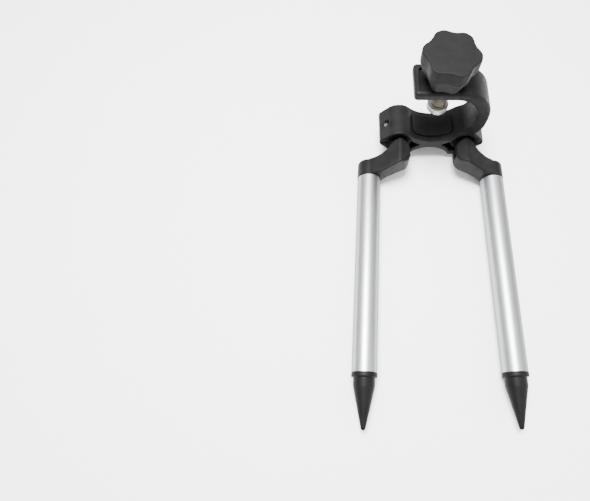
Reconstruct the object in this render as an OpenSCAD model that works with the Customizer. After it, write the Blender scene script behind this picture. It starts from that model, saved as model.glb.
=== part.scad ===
// Prism pole bipod, lying on its back: a C-clamp head with two swivelling, splaying legs.
// Millimetres. +X runs across the legs, +Y along the pole towards the head, +Z towards the knob.
// The origin is the middle of the rubber seat that the pole lies in.

/* [Head] */
// Width of the head along the pole
head_w = 30; // [27:0.5:36]
// Distance of each leg barrel from the centre plane
barrel_x = 29; // [27:0.5:34]
// Outside diameter of a leg barrel
barrel_d = 27; // [26:0.5:29]
// Height of the cast saddle above the barrel axes
saddle_h = 2.5; // [1.5:0.5:4]
// Thickness of the waist between the saddle and the arch under it
waist_t = 9.5; // [8:0.5:11]
// Radius of the arch under the waist
arch_r = 21; // [18:0.5:23]
// Reach of the skirts beside the arch from the centre plane
skirt_x = 24; // [21:0.5:27]
// Drop of the skirts beside the arch below the barrel axes
skirt_h = 18; // [14.5:0.5:20]
// Wall between the saddle and the pockets at the near end
front_wall = 7.2; // [5:0.1:8.5]
// Wall between the arch's crown and the pockets at the near end
back_wall = 6.7; // [5:0.1:8]
// Radius of the pockets' side next to the saddle
brow_r = 28.1; // [26:0.1:32]
// Radius of the pockets' side next to the arch
strut_r = 20.2; // [18:0.2:23]
// Wall left round the barrels and under the pockets
pocket_wall = 1.5; // [1:0.25:2.5]
// Depth of the pockets at the near end
pocket_depth = 12; // [4:0.5:18]

/* [Lugs] */
// Reach of a lug beyond its barrel axis
lug_reach = 17; // [15.5:0.25:20]
// Thickness of a lug at its outer edge
lug_edge = 4; // [3:0.25:6]
// Width of the slit that splits each barrel
slit_t = 1.2; // [0.8:0.1:2]
// Diameter of a lug screw
lug_screw_d = 3; // [2:0.25:3.5]
// Diameter of a lug screw's head
lug_head_d = 4.5; // [4.25:0.25:6]
// Height of a lug screw's head
lug_head_h = 3; // [2:0.25:4]
// Length of a lug screw under its head
lug_screw_len = 9; // [7:0.5:10]
// Width across the socket in a lug screw's head
lug_socket_d = 2.2; // [1.8:0.1:3]
// Metal left between a lug screw and the bore beside it
lug_screw_wall = 0.7; // [0.4:0.1:1.5]
// Metal under a lug screw's head
lug_seat_t = 2.4; // [1.8:0.1:3]

/* [Jaw] */
// Clear height from the cast saddle to the jaw
jaw_gap = 50; // [48:0.2:54]
// Thickness of the jaw plate
jaw_t = 8; // [6:0.2:9]
// Reach of the jaw's free end from the centre plane
jaw_reach = 24; // [21:0.5:28]
// Distance of the throat's back from the centre plane
throat_x = 32; // [30:0.5:34]
// Distance of the hook's back from the centre plane
hook_x = 42.5; // [41:0.5:44]
// Radius of the hook's round back
hook_r = 31; // [30:0.5:33]
// Radius of the round throat
throat_r = 22.8; // [21.5:0.1:24]
// Radius of the jaw's corners seen from the knob
jaw_corner_r = 3; // [1:0.5:6]
// Width of the raised rim round the jaw's panel
rim_w = 4.5; // [3:0.25:5]
// Distance of the sunk panel's inner end from the centre plane
panel_x = 13; // [11:0.5:15]
// Radius of the sunk panel's corners
panel_r = 2; // [1:0.25:4]
// Depth of the sunk panel
panel_depth = 2.5; // [1:0.25:3]

/* [Seat liner] */
// Thickness of the rubber liner
liner_t = 2.5; // [2:0.25:4]
// Height of the liner above the cast saddle
liner_proud = 1.5; // [0.5:0.25:1.75]
// Half width of the liner across the saddle
liner_x = 17.5; // [14:0.5:19]
// Lip of casting left at each end of the liner
liner_lip = 5; // [3:0.5:8]
// Radius of the liner's corners
liner_corner_r = 4; // [2:0.5:6]

/* [Clamp screw] */
// Diameter of the clamp screw
screw_d = 12; // [10:0.5:13]
// Diameter of the screw's nose in the pressure pad
nose_d = 8; // [6.5:0.5:9]
// Length of the screw's nose
nose_len = 3.8; // [3.25:0.25:4.25]
// Height of the pressure pad above the liner, screwed right down
pad_gap = 24.5; // [21:0.5:28]
// Diameter of the pressure pad
pad_d = 17.5; // [15:0.5:19]
// Thickness of the pressure pad
pad_t = 5.5; // [5:0.25:6.5]
// Chamfer round the pressure pad's edges
pad_chamfer = 1; // [0.5:0.1:1.5]
// Chamfer at the end of the screw's shank
screw_chamfer = 1; // [0.5:0.1:1.5]
// Thickness of the retaining ring in the pad
ring_t = 0.8; // [0.6:0.1:1.1]
// Depth of the ring's groove in the nose
ring_bite = 0.5; // [0.3:0.1:0.8]
// Depth of the ring's groove in the pad
ring_reach = 0.7; // [0.4:0.1:1.2]
// Length of the nose below the ring
ring_inset = 1.2; // [0.8:0.1:1.6]
// Outside diameter of the threaded bush
bush_d = 16; // [15.5:0.5:18]
// Diameter of the bush's flange
bush_flange_d = 20; // [19:0.5:22]
// Thickness of the bush's flange
bush_flange_t = 1.5; // [1:0.25:2.5]

/* [Knob] */
// Diameter of the knob over its lobes
knob_d = 44; // [40:0.5:48]
// Height of the knob
knob_h = 24.2; // [22:0.2:30]
// Diameter of the knob's base
knob_base_d = 32; // [28:0.5:36]
// Height of the straight part under the knob's face
knob_band = 10; // [6:0.5:14]
// Step under the knob's straight part
knob_step = 0.4; // [0.2:0.1:1]
// Radius of the knob's top edge
knob_edge_r = 1.5; // [0.5:0.25:2.5]
// Number of lobes
knob_lobes = 6; // [5:1:9]
// Radius of the hollows between the lobes
hollow_r = 8; // [6:0.5:10]
// Depth of the hollows
hollow_depth = 2.6; // [1:0.1:4]
// Turn of the lobes
lobe_turn = 51; // [0:1:72]
// Diameter of the metal insert in the knob
insert_d = 17; // [16.5:0.5:19]
// Depth of the insert
insert_depth = 14; // [10:0.5:16]
// Height of the knob's base above the jaw, screwed right down
knob_gap = 0.8; // [0.4:0.1:2]

/* [Swivels] */
// Diameter of a trunnion
trunnion_d = 16; // [15:0.25:16.5]
// Wall of the bush round a trunnion
sleeve_t = 1; // [0.75:0.25:1.25]
// Diameter of a trunnion's collar
collar_d = 20.5; // [20:0.25:21]
// Thickness of a trunnion's collar
collar_t = 2.5; // [2:0.25:4]
// Depth of the recess at the far end of a barrel
far_depth = 5; // [4.5:0.25:7]
// Thickness of the retaining washer
keeper_t = 1.5; // [1:0.25:2]
// Diameter of the retaining screw
keeper_screw_d = 6; // [4:0.5:7]
// Length of the retaining screw under its head
keeper_screw_len = 12; // [8:0.5:15]
// Diameter of the retaining screw's head
keeper_head_d = 11; // [9:0.5:13]
// Height of the retaining screw's head
keeper_head_h = 3; // [2:0.25:3]
// Width across the socket in the retaining screw's head
keeper_socket_d = 5.8; // [4:0.2:7]

/* [Hinges] */
// Distance of a hinge pin below the head
elbow = 9.8; // [9.7:0.1:14]
// Diameter of a hinge pin
pin_d = 5; // [4:0.25:6]
// Diameter of a hinge pin's head
pin_head_d = 8; // [7:0.25:9]
// Height of a hinge pin's head
pin_head_h = 1.8; // [1.2:0.2:2.4]
// Thickness of the tongue in a fork
tongue_t = 5.5; // [5:0.25:7]
// Width of the tongue in a fork
tongue_w = 16; // [14:0.25:17]
// Thickness of the friction washers
washer_t = 0.8; // [0.5:0.1:1.2]
// Diameter of the friction washers
washer_d = 13; // [11:0.5:14]
// Radius of a fork's round end
eye_r = 9.3; // [9:0.1:9.5]
// Length of a hinge pin in the fork's upper cheek
pin_bite = 3; // [2:0.25:3.5]
// Distance from the hinge pin to the middle of an arm's round heel
heel = 4.5; // [3:0.25:6]
// Fall from an arm's ridge to its inner edge
gable = 4; // [2:0.25:4]
// Thickness of a fork over both cheeks
fork_t = 19; // [18:0.25:22]
// Depth of a fork's slot beyond its round end
slot_clear = 1.5; // [0.5:0.25:2]

/* [Arms] */
// Offset of a tube outwards from its hinge pin
leg_out = 25.5; // [22:0.5:32]
// Offset of a tube below its barrel axis
leg_drop = 13; // [9:0.5:16]
// Height of a cap's or flange's edge above the tube
cap_lip = 0.3; // [0.2:0.1:1.5]
// Height of the cap on a tube
cap_h = 15.8; // [10:0.2:17]
// Radius of the cap's shoulder
cap_r = 3; // [1:0.5:4]
// Drop from the hinge pin to the top of the tube
crank_drop = 20.5; // [18:0.5:24]
// Distance from the hinge pin at which the crank's underside starts to drop
crank_x = 6; // [3:0.5:9]
// Length of the spigot in a tube
spigot_len = 18; // [12:1:30]
// Bore of a spigot
spigot_bore = 9; // [6:0.5:12]

/* [Tubes] */
// Outside diameter of a tube
tube_d = 20; // [18:0.1:22]
// Wall of a tube
tube_wall = 1.5; // [1:0.1:2.5]
// Length of a tube
tube_len = 170; // [120:1:260]

/* [Feet] */
// Thickness of a foot's flange
flange_t = 3.5; // [2:0.25:6]
// Diameter of a foot's neck
neck_d = 17.2; // [14:0.2:18]
// Length of a foot's neck
neck_len = 8; // [3:0.25:9]
// Height of the step from a foot's cone to its neck
neck_step = 1.4; // [0.5:0.1:2]
// Length of a foot's cone with its tip
cone_len = 31; // [24:0.5:50]
// Diameter of the cone where it leaves the neck
cone_d = 16.6; // [13:0.2:17]
// Diameter of a foot's tip
tip_d = 4; // [2:0.2:5]
// Length of the plug in a tube
plug_len = 14; // [8:1:24]

/* [Pose] */
// Splay of the left leg as it lies
left_splay = 2.7; // [0:0.1:25]
// Splay of the right leg as it lies
right_splay = 0; // [0:0.1:25]

/* [Fits] */
// Radial clearance of what turns
running_gap = 0.05; // [0.02:0.01:0.1]
// Radial clearance of what is pressed or glued in place
seat_gap = 0.02; // [0.01:0.01:0.05]
// Clearance between faces that pass each other
face_gap = 0.3; // [0.2:0.05:0.5]
// Clearance between faces that rub
rub_gap = 0.05; // [0.02:0.01:0.1]

/* [Hidden] */
$fn = 96;
// Overlap that lets a cut pass clean through a face
cut = 1;
// Length of a cut that passes clean through everything
through = 400;

barrel_r = barrel_d / 2;
// Height of the barrel axes
axis_z = -saddle_h - liner_proud;
near_y = -head_w / 2;
far_y = head_w / 2;

// The saddle's arc runs tangent into both barrels
saddle_r = (pow(barrel_x, 2) + pow(saddle_h, 2) - pow(barrel_r, 2)) / (2 * (barrel_r - saddle_h));
saddle_cz = saddle_r + saddle_h;
crest_x = barrel_x * saddle_r / (saddle_r + barrel_r);
crest_z = barrel_r * saddle_cz / (saddle_r + barrel_r);
arch_cz = saddle_h - waist_t - arch_r;
brow_cz = saddle_h - front_wall + brow_r;
strut_cz = saddle_h - waist_t + back_wall - strut_r;

jaw_under = saddle_h + jaw_gap;
jaw_top = jaw_under + jaw_t;
// The hook's round back runs tangent into the jaw's top, and its throat into the jaw's underside
hook_cx = hook_x - hook_r;
hook_cz = jaw_top - hook_r;
throat_cx = throat_x - throat_r;
throat_cz = jaw_under - throat_r;

// A lug's faces run tangent into its barrel
lug_span = norm([lug_reach, lug_edge / 2]);
lug_angle = atan2(lug_edge / 2, lug_reach) + acos(barrel_r / lug_span);
lug_touch = barrel_r * [cos(lug_angle), sin(lug_angle)];

sleeve_d = trunnion_d + 2 * sleeve_t;
sleeve_bore_d = sleeve_d + 2 * seat_gap;
recess_d = collar_d + 2 * face_gap;
sleeve_y0 = near_y + collar_t + rub_gap;
sleeve_y1 = far_y - far_depth;
lug_screw_x = barrel_x + sleeve_bore_d / 2 + lug_screw_d / 2 + lug_screw_wall;
lug_seat_z = slit_t / 2 + lug_seat_t;

pin_y = near_y - elbow;
slot_t = tongue_t + 2 * (washer_t + rub_gap);
slot_r = eye_r + slot_clear;
pin_top = slot_t / 2 + pin_bite;

// The crank's outer curve runs tangent into the fork's round end and the top of the cap
cap_rad = tube_d / 2 + cap_lip;
cap_top = cap_h - crank_drop;
curve_r = (pow(leg_out, 2) + pow(cap_top, 2) - pow(eye_r, 2)) / (2 * (eye_r - cap_top));
curve_cy = cap_top + curve_r;
curve_touch = eye_r / (curve_r + eye_r) * [leg_out, curve_cy];

// The crank's inner edge runs tangent from the cap to the round heel
heel_mid = [0, -heel];
inner_end = [leg_out - cap_rad, -crank_drop];
inner_run = inner_end - heel_mid;
inner_angle = atan2(inner_run[1], inner_run[0]) - acos(eye_r / norm(inner_run));
inner_touch = heel_mid + eye_r * [cos(inner_angle), sin(inner_angle)];

tube_bore_d = tube_d - 2 * tube_wall;
plug_d = tube_bore_d - 2 * seat_gap;

pad_top = pad_gap + pad_t;
nose_z0 = pad_top - nose_len;
ring_z0 = nose_z0 + ring_inset;
ring_d = nose_d + 2 * ring_reach;
jaw_z = axis_z + jaw_top;
knob_z = jaw_z + knob_gap;

// Turns a shape drawn in X and Z into a solid along Y
module along_y(y0, y1) {
  translate([0, y1, 0]) rotate([90, 0, 0]) linear_extrude(y1 - y0) children();
}

// Turns a solid along Z into one along Y, from y0 upwards
module lay_along_y(y0) {
  translate([0, y0, 0]) rotate([-90, 0, 0]) children();
}

// Places a shape made for the right-hand side on either side
module on_side(side) {
  if (side > 0) children();
  else mirror([1, 0, 0]) children();
}

module rounded_rectangle(x0, x1, y0, y1, r) {
  translate([x0 + r, y0]) square([x1 - x0 - 2 * r, y1 - y0]);
  translate([x0, y0 + r]) square([x1 - x0, y1 - y0 - 2 * r]);
  for (x = [x0 + r, x1 - r], y = [y0 + r, y1 - r]) translate([x, y]) circle(r);
}

module ring(outer_d, inner_d, h) {
  difference() {
    cylinder(d = outer_d, h = h);
    translate([0, 0, -cut]) cylinder(d = inner_d, h = h + 2 * cut);
  }
}

// The round space over the saddle, drawn from the barrel axes
module saddle_space() {
  intersection() {
    translate([0, saddle_cz]) circle(saddle_r);
    translate([-through / 2, 0]) square([through, saddle_cz]);
  }
}

// Saddle and arch between the barrels, drawn from the barrel axes
module waist_profile() {
  difference() {
    union() {
      translate([-crest_x, -barrel_r]) square([2 * crest_x, barrel_r + crest_z]);
      translate([-barrel_x, -barrel_r]) square([2 * barrel_x, barrel_r]);
      translate([-skirt_x, -skirt_h]) square([2 * skirt_x, skirt_h]);
    }
    saddle_space();
    translate([0, arch_cz]) circle(arch_r);
  }
}

module barrel_profile() {
  translate([barrel_x, 0]) {
    circle(barrel_r);
    polygon([
      [0, 0], lug_touch, [lug_reach, lug_edge / 2],
      [lug_reach, -lug_edge / 2], [lug_touch[0], -lug_touch[1]]
    ]);
  }
}

// The C above the saddle: the round hook behind the throat and the jaw plate
module jaw_profile() {
  difference() {
    union() {
      intersection() {
        translate([hook_cx, hook_cz]) circle(hook_r);
        translate([min(hook_cx, throat_cx), 0]) square([hook_x, jaw_top]);
      }
      translate([-jaw_reach, jaw_under]) square([hook_cx + jaw_reach, jaw_t]);
    }
    translate([throat_cx, throat_cz]) circle(throat_r);
    saddle_space();
  }
}

// The hollows at the near end between the saddle and the arch
module pocket_profile() {
  difference() {
    translate([-barrel_x, pocket_wall - barrel_r]) square([2 * barrel_x, barrel_r - pocket_wall + crest_z]);
    translate([0, brow_cz]) circle(brow_r);
    translate([0, strut_cz]) circle(strut_r);
  }
}

// The liner's shape, grown by a gap for the recess that it lies in
module liner_shape(gap, top) {
  intersection() {
    along_y(near_y, far_y) difference() {
      translate([-through / 2, 0]) square([through, saddle_cz]);
      difference() {
        translate([-through / 2, -through / 2]) square(through);
        translate([0, saddle_cz]) circle(saddle_r + liner_t - liner_proud);
      }
      translate([0, saddle_cz]) circle(saddle_r - top);
    }
    translate([0, 0, -cut]) linear_extrude(saddle_cz)
      rounded_rectangle(
        -liner_x - gap, liner_x + gap, near_y + liner_lip - gap, far_y - liner_lip + gap, liner_corner_r
      );
  }
}

module barrel_cuts() {
  translate([barrel_x, 0, 0]) {
    lay_along_y(near_y - cut) cylinder(d = sleeve_bore_d, h = head_w + 2 * cut);
    lay_along_y(near_y - cut) cylinder(d = recess_d, h = collar_t + rub_gap + cut);
    lay_along_y(far_y - far_depth) cylinder(d = recess_d, h = far_depth + cut);
    translate([0, near_y - cut, -slit_t / 2]) cube([lug_reach + cut, head_w + 2 * cut, slit_t]);
  }
  translate([lug_screw_x, 0, 0]) {
    translate([0, 0, lug_seat_z - lug_screw_len - seat_gap])
      cylinder(d = lug_screw_d + 2 * seat_gap, h = lug_screw_len + 2 * cut);
    translate([0, 0, lug_seat_z]) cylinder(d = lug_head_d + 2 * face_gap, h = barrel_r);
  }
}

module head_casting() {
  color("#2b2b2c") translate([0, 0, axis_z]) difference() {
    union() {
      along_y(near_y, far_y) {
        waist_profile();
        for (side = [-1, 1]) scale([side, 1]) barrel_profile();
      }
      intersection() {
        along_y(near_y, far_y) jaw_profile();
        linear_extrude(through)
          rounded_rectangle(-jaw_reach, hook_x, near_y, far_y, jaw_corner_r);
      }
    }
    for (side = [-1, 1]) on_side(side) barrel_cuts();
    along_y(near_y - cut, near_y + collar_t + rub_gap) pocket_profile();
    along_y(near_y - cut, near_y + pocket_depth) difference() {
      pocket_profile();
      for (side = [-1, 1]) translate([side * barrel_x, 0]) circle(recess_d / 2 + pocket_wall);
    }
    liner_shape(face_gap, saddle_r / 2);
    translate([0, 0, jaw_top - panel_depth]) linear_extrude(panel_depth + cut)
      rounded_rectangle(
        -jaw_reach + rim_w, panel_x, near_y + rim_w, far_y - rim_w, panel_r
      );
    translate([0, 0, jaw_top - panel_depth])
      cylinder(d = bush_flange_d + 2 * face_gap, h = panel_depth + cut);
    translate([0, 0, jaw_under - cut]) cylinder(d = bush_d + 2 * seat_gap, h = jaw_t + 2 * cut);
  }
}

module seat_liner() {
  color("#1d1d1e") translate([0, 0, axis_z]) liner_shape(0, liner_proud);
}

module jaw_bush() {
  color("#9c8a58") translate([0, 0, axis_z + jaw_under]) difference() {
    union() {
      cylinder(d = bush_d, h = jaw_t - panel_depth + bush_flange_t);
      translate([0, 0, jaw_t - panel_depth]) cylinder(d = bush_flange_d, h = bush_flange_t);
    }
    translate([0, 0, -cut]) cylinder(d = screw_d + 2 * running_gap, h = jaw_t + bush_flange_t + 2 * cut);
  }
}

module lug_screw(side) {
  color("#c9c9c6") on_side(side) translate([lug_screw_x, 0, axis_z + lug_seat_z]) {
    translate([0, 0, -lug_screw_len]) cylinder(d = lug_screw_d, h = lug_screw_len + cut);
    difference() {
      cylinder(d = lug_head_d, h = lug_head_h);
      translate([0, 0, lug_head_h / 2]) cylinder(d = lug_socket_d, h = lug_head_h, $fn = 6);
    }
  }
}

module sleeve(side) {
  color("#3a3a38") on_side(side) translate([barrel_x, 0, axis_z]) difference() {
    lay_along_y(sleeve_y0) ring(sleeve_d, trunnion_d + 2 * running_gap, sleeve_y1 - sleeve_y0);
    translate([0, near_y, -slit_t / 2]) cube([lug_reach, head_w, slit_t]);
  }
}

module trunnion(side) {
  color("#303031") on_side(side) translate([barrel_x, 0, axis_z]) difference() {
    union() {
      lay_along_y(near_y) cylinder(d = trunnion_d, h = head_w - far_depth + rub_gap);
      lay_along_y(near_y) cylinder(d = collar_d, h = collar_t);
      translate([0, 0, -tongue_t / 2]) linear_extrude(tongue_t) {
        translate([0, pin_y]) circle(d = tongue_w);
        translate([-tongue_w / 2, pin_y]) square([tongue_w, elbow + collar_t]);
      }
    }
    translate([0, pin_y, -tongue_t]) cylinder(d = pin_d + 2 * running_gap, h = 2 * tongue_t);
    lay_along_y(sleeve_y1 + keeper_t - keeper_screw_len)
      cylinder(d = keeper_screw_d + 2 * seat_gap, h = keeper_screw_len);
  }
}

module keeper_washer(side) {
  color("#b4b4b2") on_side(side) translate([barrel_x, 0, axis_z])
    lay_along_y(sleeve_y1 + rub_gap) ring(collar_d, keeper_screw_d + 2 * seat_gap, keeper_t);
}

module keeper_screw(side) {
  color("#c9c9c6") on_side(side) translate([barrel_x, 0, axis_z])
    lay_along_y(sleeve_y1 + rub_gap + keeper_t) {
      translate([0, 0, -keeper_screw_len + rub_gap]) cylinder(d = keeper_screw_d, h = keeper_screw_len);
      difference() {
        cylinder(d = keeper_head_d, h = keeper_head_h);
        translate([0, 0, keeper_head_h / 2])
          cylinder(d = keeper_socket_d, h = keeper_head_h, $fn = 6);
      }
    }
}

// Places a piece drawn from the right-hand hinge pin, with its leg splayed
module leg_frame(side) {
  on_side(side) translate([barrel_x, pin_y, axis_z])
    rotate([0, 0, side > 0 ? right_splay : left_splay]) children();
}

module hinge_pin(side) {
  pin_z0 = face_gap - fork_t / 2;
  color("#8f8f8d") leg_frame(side) translate([0, 0, pin_z0]) {
    cylinder(d = pin_d, h = pin_top - pin_z0);
    cylinder(d = pin_head_d, h = pin_head_h);
  }
}

module friction_washers(side) {
  color("#d8d5c8") leg_frame(side)
    for (z = [-slot_t / 2, slot_t / 2 - washer_t])
      translate([0, 0, z]) ring(washer_d, pin_d + 2 * seat_gap, washer_t);
}

// The crank seen from the knob side
module crank_plan() {
  circle(eye_r);
  translate(heel_mid) circle(eye_r);
  translate([-eye_r, -heel]) square([2 * eye_r, heel]);
  difference() {
    polygon([
      [0, 0], curve_touch, [leg_out, curve_touch[1]],
      [leg_out, -crank_drop], inner_end, inner_touch, heel_mid
    ]);
    translate([leg_out, curve_cy]) circle(curve_r);
  }
}

// The crank seen along the leg, falling from a ridge over the hinge pin to both sides
module crank_drop_profile() {
  polygon([
    [-2 * eye_r, fork_t / 2 - 2 * gable], [0, fork_t / 2],
    [leg_out, cap_rad - leg_drop], [leg_out + cut, cap_rad - leg_drop],
    [leg_out + cut, -cap_rad - leg_drop], [leg_out, -cap_rad - leg_drop],
    [crank_x, -fork_t / 2], [-2 * eye_r, -fork_t / 2]
  ]);
}

module cap_profile() {
  translate([0, -crank_drop]) square([cap_rad - cap_r, cap_h]);
  translate([0, -crank_drop]) square([cap_rad, cap_h - cap_r]);
  translate([cap_rad - cap_r, cap_top - cap_r]) circle(cap_r);
  translate([0, -crank_drop - spigot_len]) square([plug_d / 2, spigot_len + cut]);
}

module arm(side) {
  color("#262627") leg_frame(side) difference() {
    union() {
      intersection() {
        translate([0, 0, -through / 2]) linear_extrude(through) crank_plan();
        along_y(-crank_drop - cut, eye_r + cut) crank_drop_profile();
      }
      translate([leg_out, 0, -leg_drop]) rotate([-90, 0, 0]) rotate_extrude()
        intersection() {
          cap_profile();
          translate([0, -through / 2]) square([cap_rad, through]);
        }
    }
    translate([0, 0, -slot_t / 2]) cylinder(r = slot_r, h = slot_t);
    translate([0, 0, -fork_t]) cylinder(d = pin_d + 2 * seat_gap, h = fork_t + pin_top + seat_gap);
    translate([0, 0, -fork_t / 2 - cut])
      cylinder(d = pin_head_d + 2 * seat_gap, h = cut + face_gap + pin_head_h + seat_gap);
    translate([leg_out, -crank_drop - spigot_len - cut, -leg_drop])
      rotate([-90, 0, 0]) cylinder(d = spigot_bore, h = spigot_len + cut);
  }
}

module tube(side) {
  color("#c8cacc") leg_frame(side) translate([leg_out, 0, -leg_drop])
    lay_along_y(-crank_drop - tube_len) ring(tube_d, tube_bore_d, tube_len);
}

// The outline of a foot, from its tip at zero up to the top of its plug
module foot_profile() {
  neck_y = cone_len + neck_len;
  polygon([
    [0, tip_d / 2], [tip_d / 2, tip_d / 2], [cone_d / 2, cone_len], [neck_d / 2, cone_len + neck_step],
    [neck_d / 2, neck_y], [cap_rad, neck_y], [cap_rad, neck_y + flange_t],
    [plug_d / 2, neck_y + flange_t], [plug_d / 2, neck_y + flange_t + plug_len],
    [0, neck_y + flange_t + plug_len]
  ]);
  intersection() {
    translate([0, tip_d / 2]) circle(d = tip_d);
    square(tip_d);
  }
}

module foot(side) {
  foot_y = -crank_drop - tube_len - flange_t - neck_len - cone_len;
  color("#2a2a2b") leg_frame(side) translate([leg_out, foot_y, -leg_drop])
    rotate([-90, 0, 0]) rotate_extrude() foot_profile();
}

module pressure_pad() {
  color("#cfcfca") difference() {
    union() {
      translate([0, 0, pad_gap]) cylinder(d1 = pad_d - 2 * pad_chamfer, d2 = pad_d, h = pad_chamfer);
      translate([0, 0, pad_gap + pad_chamfer]) cylinder(d = pad_d, h = pad_t - 2 * pad_chamfer);
      translate([0, 0, pad_top - pad_chamfer])
        cylinder(d1 = pad_d, d2 = pad_d - 2 * pad_chamfer, h = pad_chamfer);
    }
    translate([0, 0, nose_z0 - face_gap]) cylinder(d = nose_d + 2 * running_gap, h = pad_t);
    translate([0, 0, ring_z0 - seat_gap]) cylinder(d = ring_d + 2 * seat_gap, h = ring_t + 2 * seat_gap);
  }
}

module pad_ring() {
  color("#8f8f8d") translate([0, 0, ring_z0])
    ring(ring_d, nose_d - 2 * ring_bite + 2 * running_gap, ring_t);
}

module clamp_screw() {
  shank_z0 = pad_top + rub_gap;
  shank_len = knob_z + insert_depth - shank_z0;
  color("#b9b4a6") difference() {
    union() {
      translate([0, 0, nose_z0]) cylinder(d = nose_d, h = nose_len + cut);
      translate([0, 0, shank_z0])
        cylinder(d1 = screw_d - 2 * screw_chamfer, d2 = screw_d, h = screw_chamfer);
      translate([0, 0, shank_z0 + screw_chamfer]) cylinder(d = screw_d, h = shank_len - screw_chamfer);
    }
    translate([0, 0, ring_z0 - rub_gap])
      ring(nose_d + 2 * cut, nose_d - 2 * ring_bite, ring_t + 2 * rub_gap);
  }
}

module knob_insert() {
  color("#b08d4a") translate([0, 0, knob_z]) ring(insert_d, screw_d + 2 * seat_gap, insert_depth);
}

// The knob's outline seen from above, with hollows between its lobes
module knob_outline() {
  difference() {
    circle(d = knob_d);
    for (lobe = [0 : knob_lobes - 1])
      rotate(lobe_turn + (lobe + 0.5) * 360 / knob_lobes)
        translate([knob_d / 2 - hollow_depth + hollow_r, 0]) circle(hollow_r);
  }
}

module knob() {
  top_r = knob_d / 2;
  cone_h = knob_h - knob_band;
  color("#333334") translate([0, 0, knob_z]) difference() {
    union() {
      linear_extrude(cone_h, scale = (knob_d - 2 * knob_step) / knob_base_d)
        scale(knob_base_d / knob_d) knob_outline($fn = 60);
      intersection() {
        translate([0, 0, cone_h]) linear_extrude(knob_band) knob_outline();
        rotate_extrude() {
          square([top_r - knob_edge_r, knob_h]);
          square([top_r, knob_h - knob_edge_r]);
          translate([top_r - knob_edge_r, knob_h - knob_edge_r]) circle(knob_edge_r);
        }
      }
    }
    translate([0, 0, -cut]) cylinder(d = insert_d + 2 * seat_gap, h = insert_depth + cut);
  }
}

head_casting();
seat_liner();
jaw_bush();
lug_screw(-1);  // left_lug_screw
lug_screw(1);  // right_lug_screw
sleeve(-1);  // left_sleeve
sleeve(1);  // right_sleeve
trunnion(-1);  // left_trunnion
trunnion(1);  // right_trunnion
keeper_washer(-1);  // left_keeper_washer
keeper_washer(1);  // right_keeper_washer
keeper_screw(-1);  // left_keeper_screw
keeper_screw(1);  // right_keeper_screw
hinge_pin(-1);  // left_hinge_pin
hinge_pin(1);  // right_hinge_pin
friction_washers(-1);  // left_friction_washers
friction_washers(1);  // right_friction_washers
arm(-1);  // left_arm
arm(1);  // right_arm
tube(-1);  // left_tube
tube(1);  // right_tube
foot(-1);  // left_foot
foot(1);  // right_foot
pressure_pad();
pad_ring();
clamp_screw();
knob_insert();
knob();
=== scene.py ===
"""Looks of a prism pole bipod that lies on its back on a pale table.

Sizes are in millimetres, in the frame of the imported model: +X across the legs, +Y along the pole,
+Z towards the knob, with the origin in the middle of the rubber seat. Meshes are made in metres.
"""

import itertools
import logging
import math
from collections.abc import Callable, Sequence
from dataclasses import dataclass, field, replace
from enum import Enum

import bmesh
import bpy
import numpy as np
from mathutils import Euler, Matrix, Vector


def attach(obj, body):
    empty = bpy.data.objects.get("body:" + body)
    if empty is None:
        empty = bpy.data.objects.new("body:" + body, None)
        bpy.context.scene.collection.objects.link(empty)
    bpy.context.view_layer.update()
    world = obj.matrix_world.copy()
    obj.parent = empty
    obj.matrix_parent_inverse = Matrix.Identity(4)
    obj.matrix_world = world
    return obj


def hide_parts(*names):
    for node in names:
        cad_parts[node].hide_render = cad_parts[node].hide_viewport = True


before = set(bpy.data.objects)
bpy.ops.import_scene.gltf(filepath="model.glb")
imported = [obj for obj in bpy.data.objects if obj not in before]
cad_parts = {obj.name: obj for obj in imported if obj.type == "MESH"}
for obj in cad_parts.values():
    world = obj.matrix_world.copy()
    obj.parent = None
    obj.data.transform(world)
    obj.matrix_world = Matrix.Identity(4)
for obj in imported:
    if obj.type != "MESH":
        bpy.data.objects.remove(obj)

Grid = np.ndarray
Field = Callable[[Grid], Grid]
Pair = tuple[float, float]
Triple = tuple[float, float, float]
Colour = Triple
Profile = list[Pair]
MeshData = tuple[Grid, Grid]
Socket = bpy.types.NodeSocket
Material = bpy.types.Material
Palette = dict[str, Material]

LOG = logging.getLogger("bipod")
# Metres in a millimetre
MM = 0.001
# Points of a mesh that are nearer than this are one, in metres
DOUBLED = 1e-7
# Faces of a mesh that are narrower than this go, in metres
NARROW = 1e-8
# Order of the coordinates that lays a turned piece along Y
ALONG_Y = [0, 2, 1]


class Side(Enum):
    """The two legs, by the sign of their X."""

    LEFT = -1
    RIGHT = 1

    @property
    def word(self) -> str:
        """The side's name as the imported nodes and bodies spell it."""
        return self.name.lower()


# How far each leg stands out in the photograph, in degrees
SPLAY = {Side.LEFT: 2.7, Side.RIGHT: 0.0}


# Distance fields

def disc(u: Grid, v: Grid, centre: Pair, radius: float) -> Grid:
    """Distance to a circle, negative inside.

    Args:
        u: First coordinate of the points.
        v: Second coordinate of the points.
        centre: The circle's middle.
        radius: The circle's radius.

    Returns:
        The signed distance of each point.
    """
    return np.hypot(u - centre[0], v - centre[1]) - radius


def slab(u: Grid, low: float, high: float) -> Grid:
    """Distance to the space between two planes, negative between them.

    Args:
        u: Coordinate of the points across the planes.
        low: Place of the lower plane.
        high: Place of the upper plane.

    Returns:
        The signed distance of each point.
    """
    return np.abs(u - (low + high) / 2) - (high - low) / 2


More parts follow.
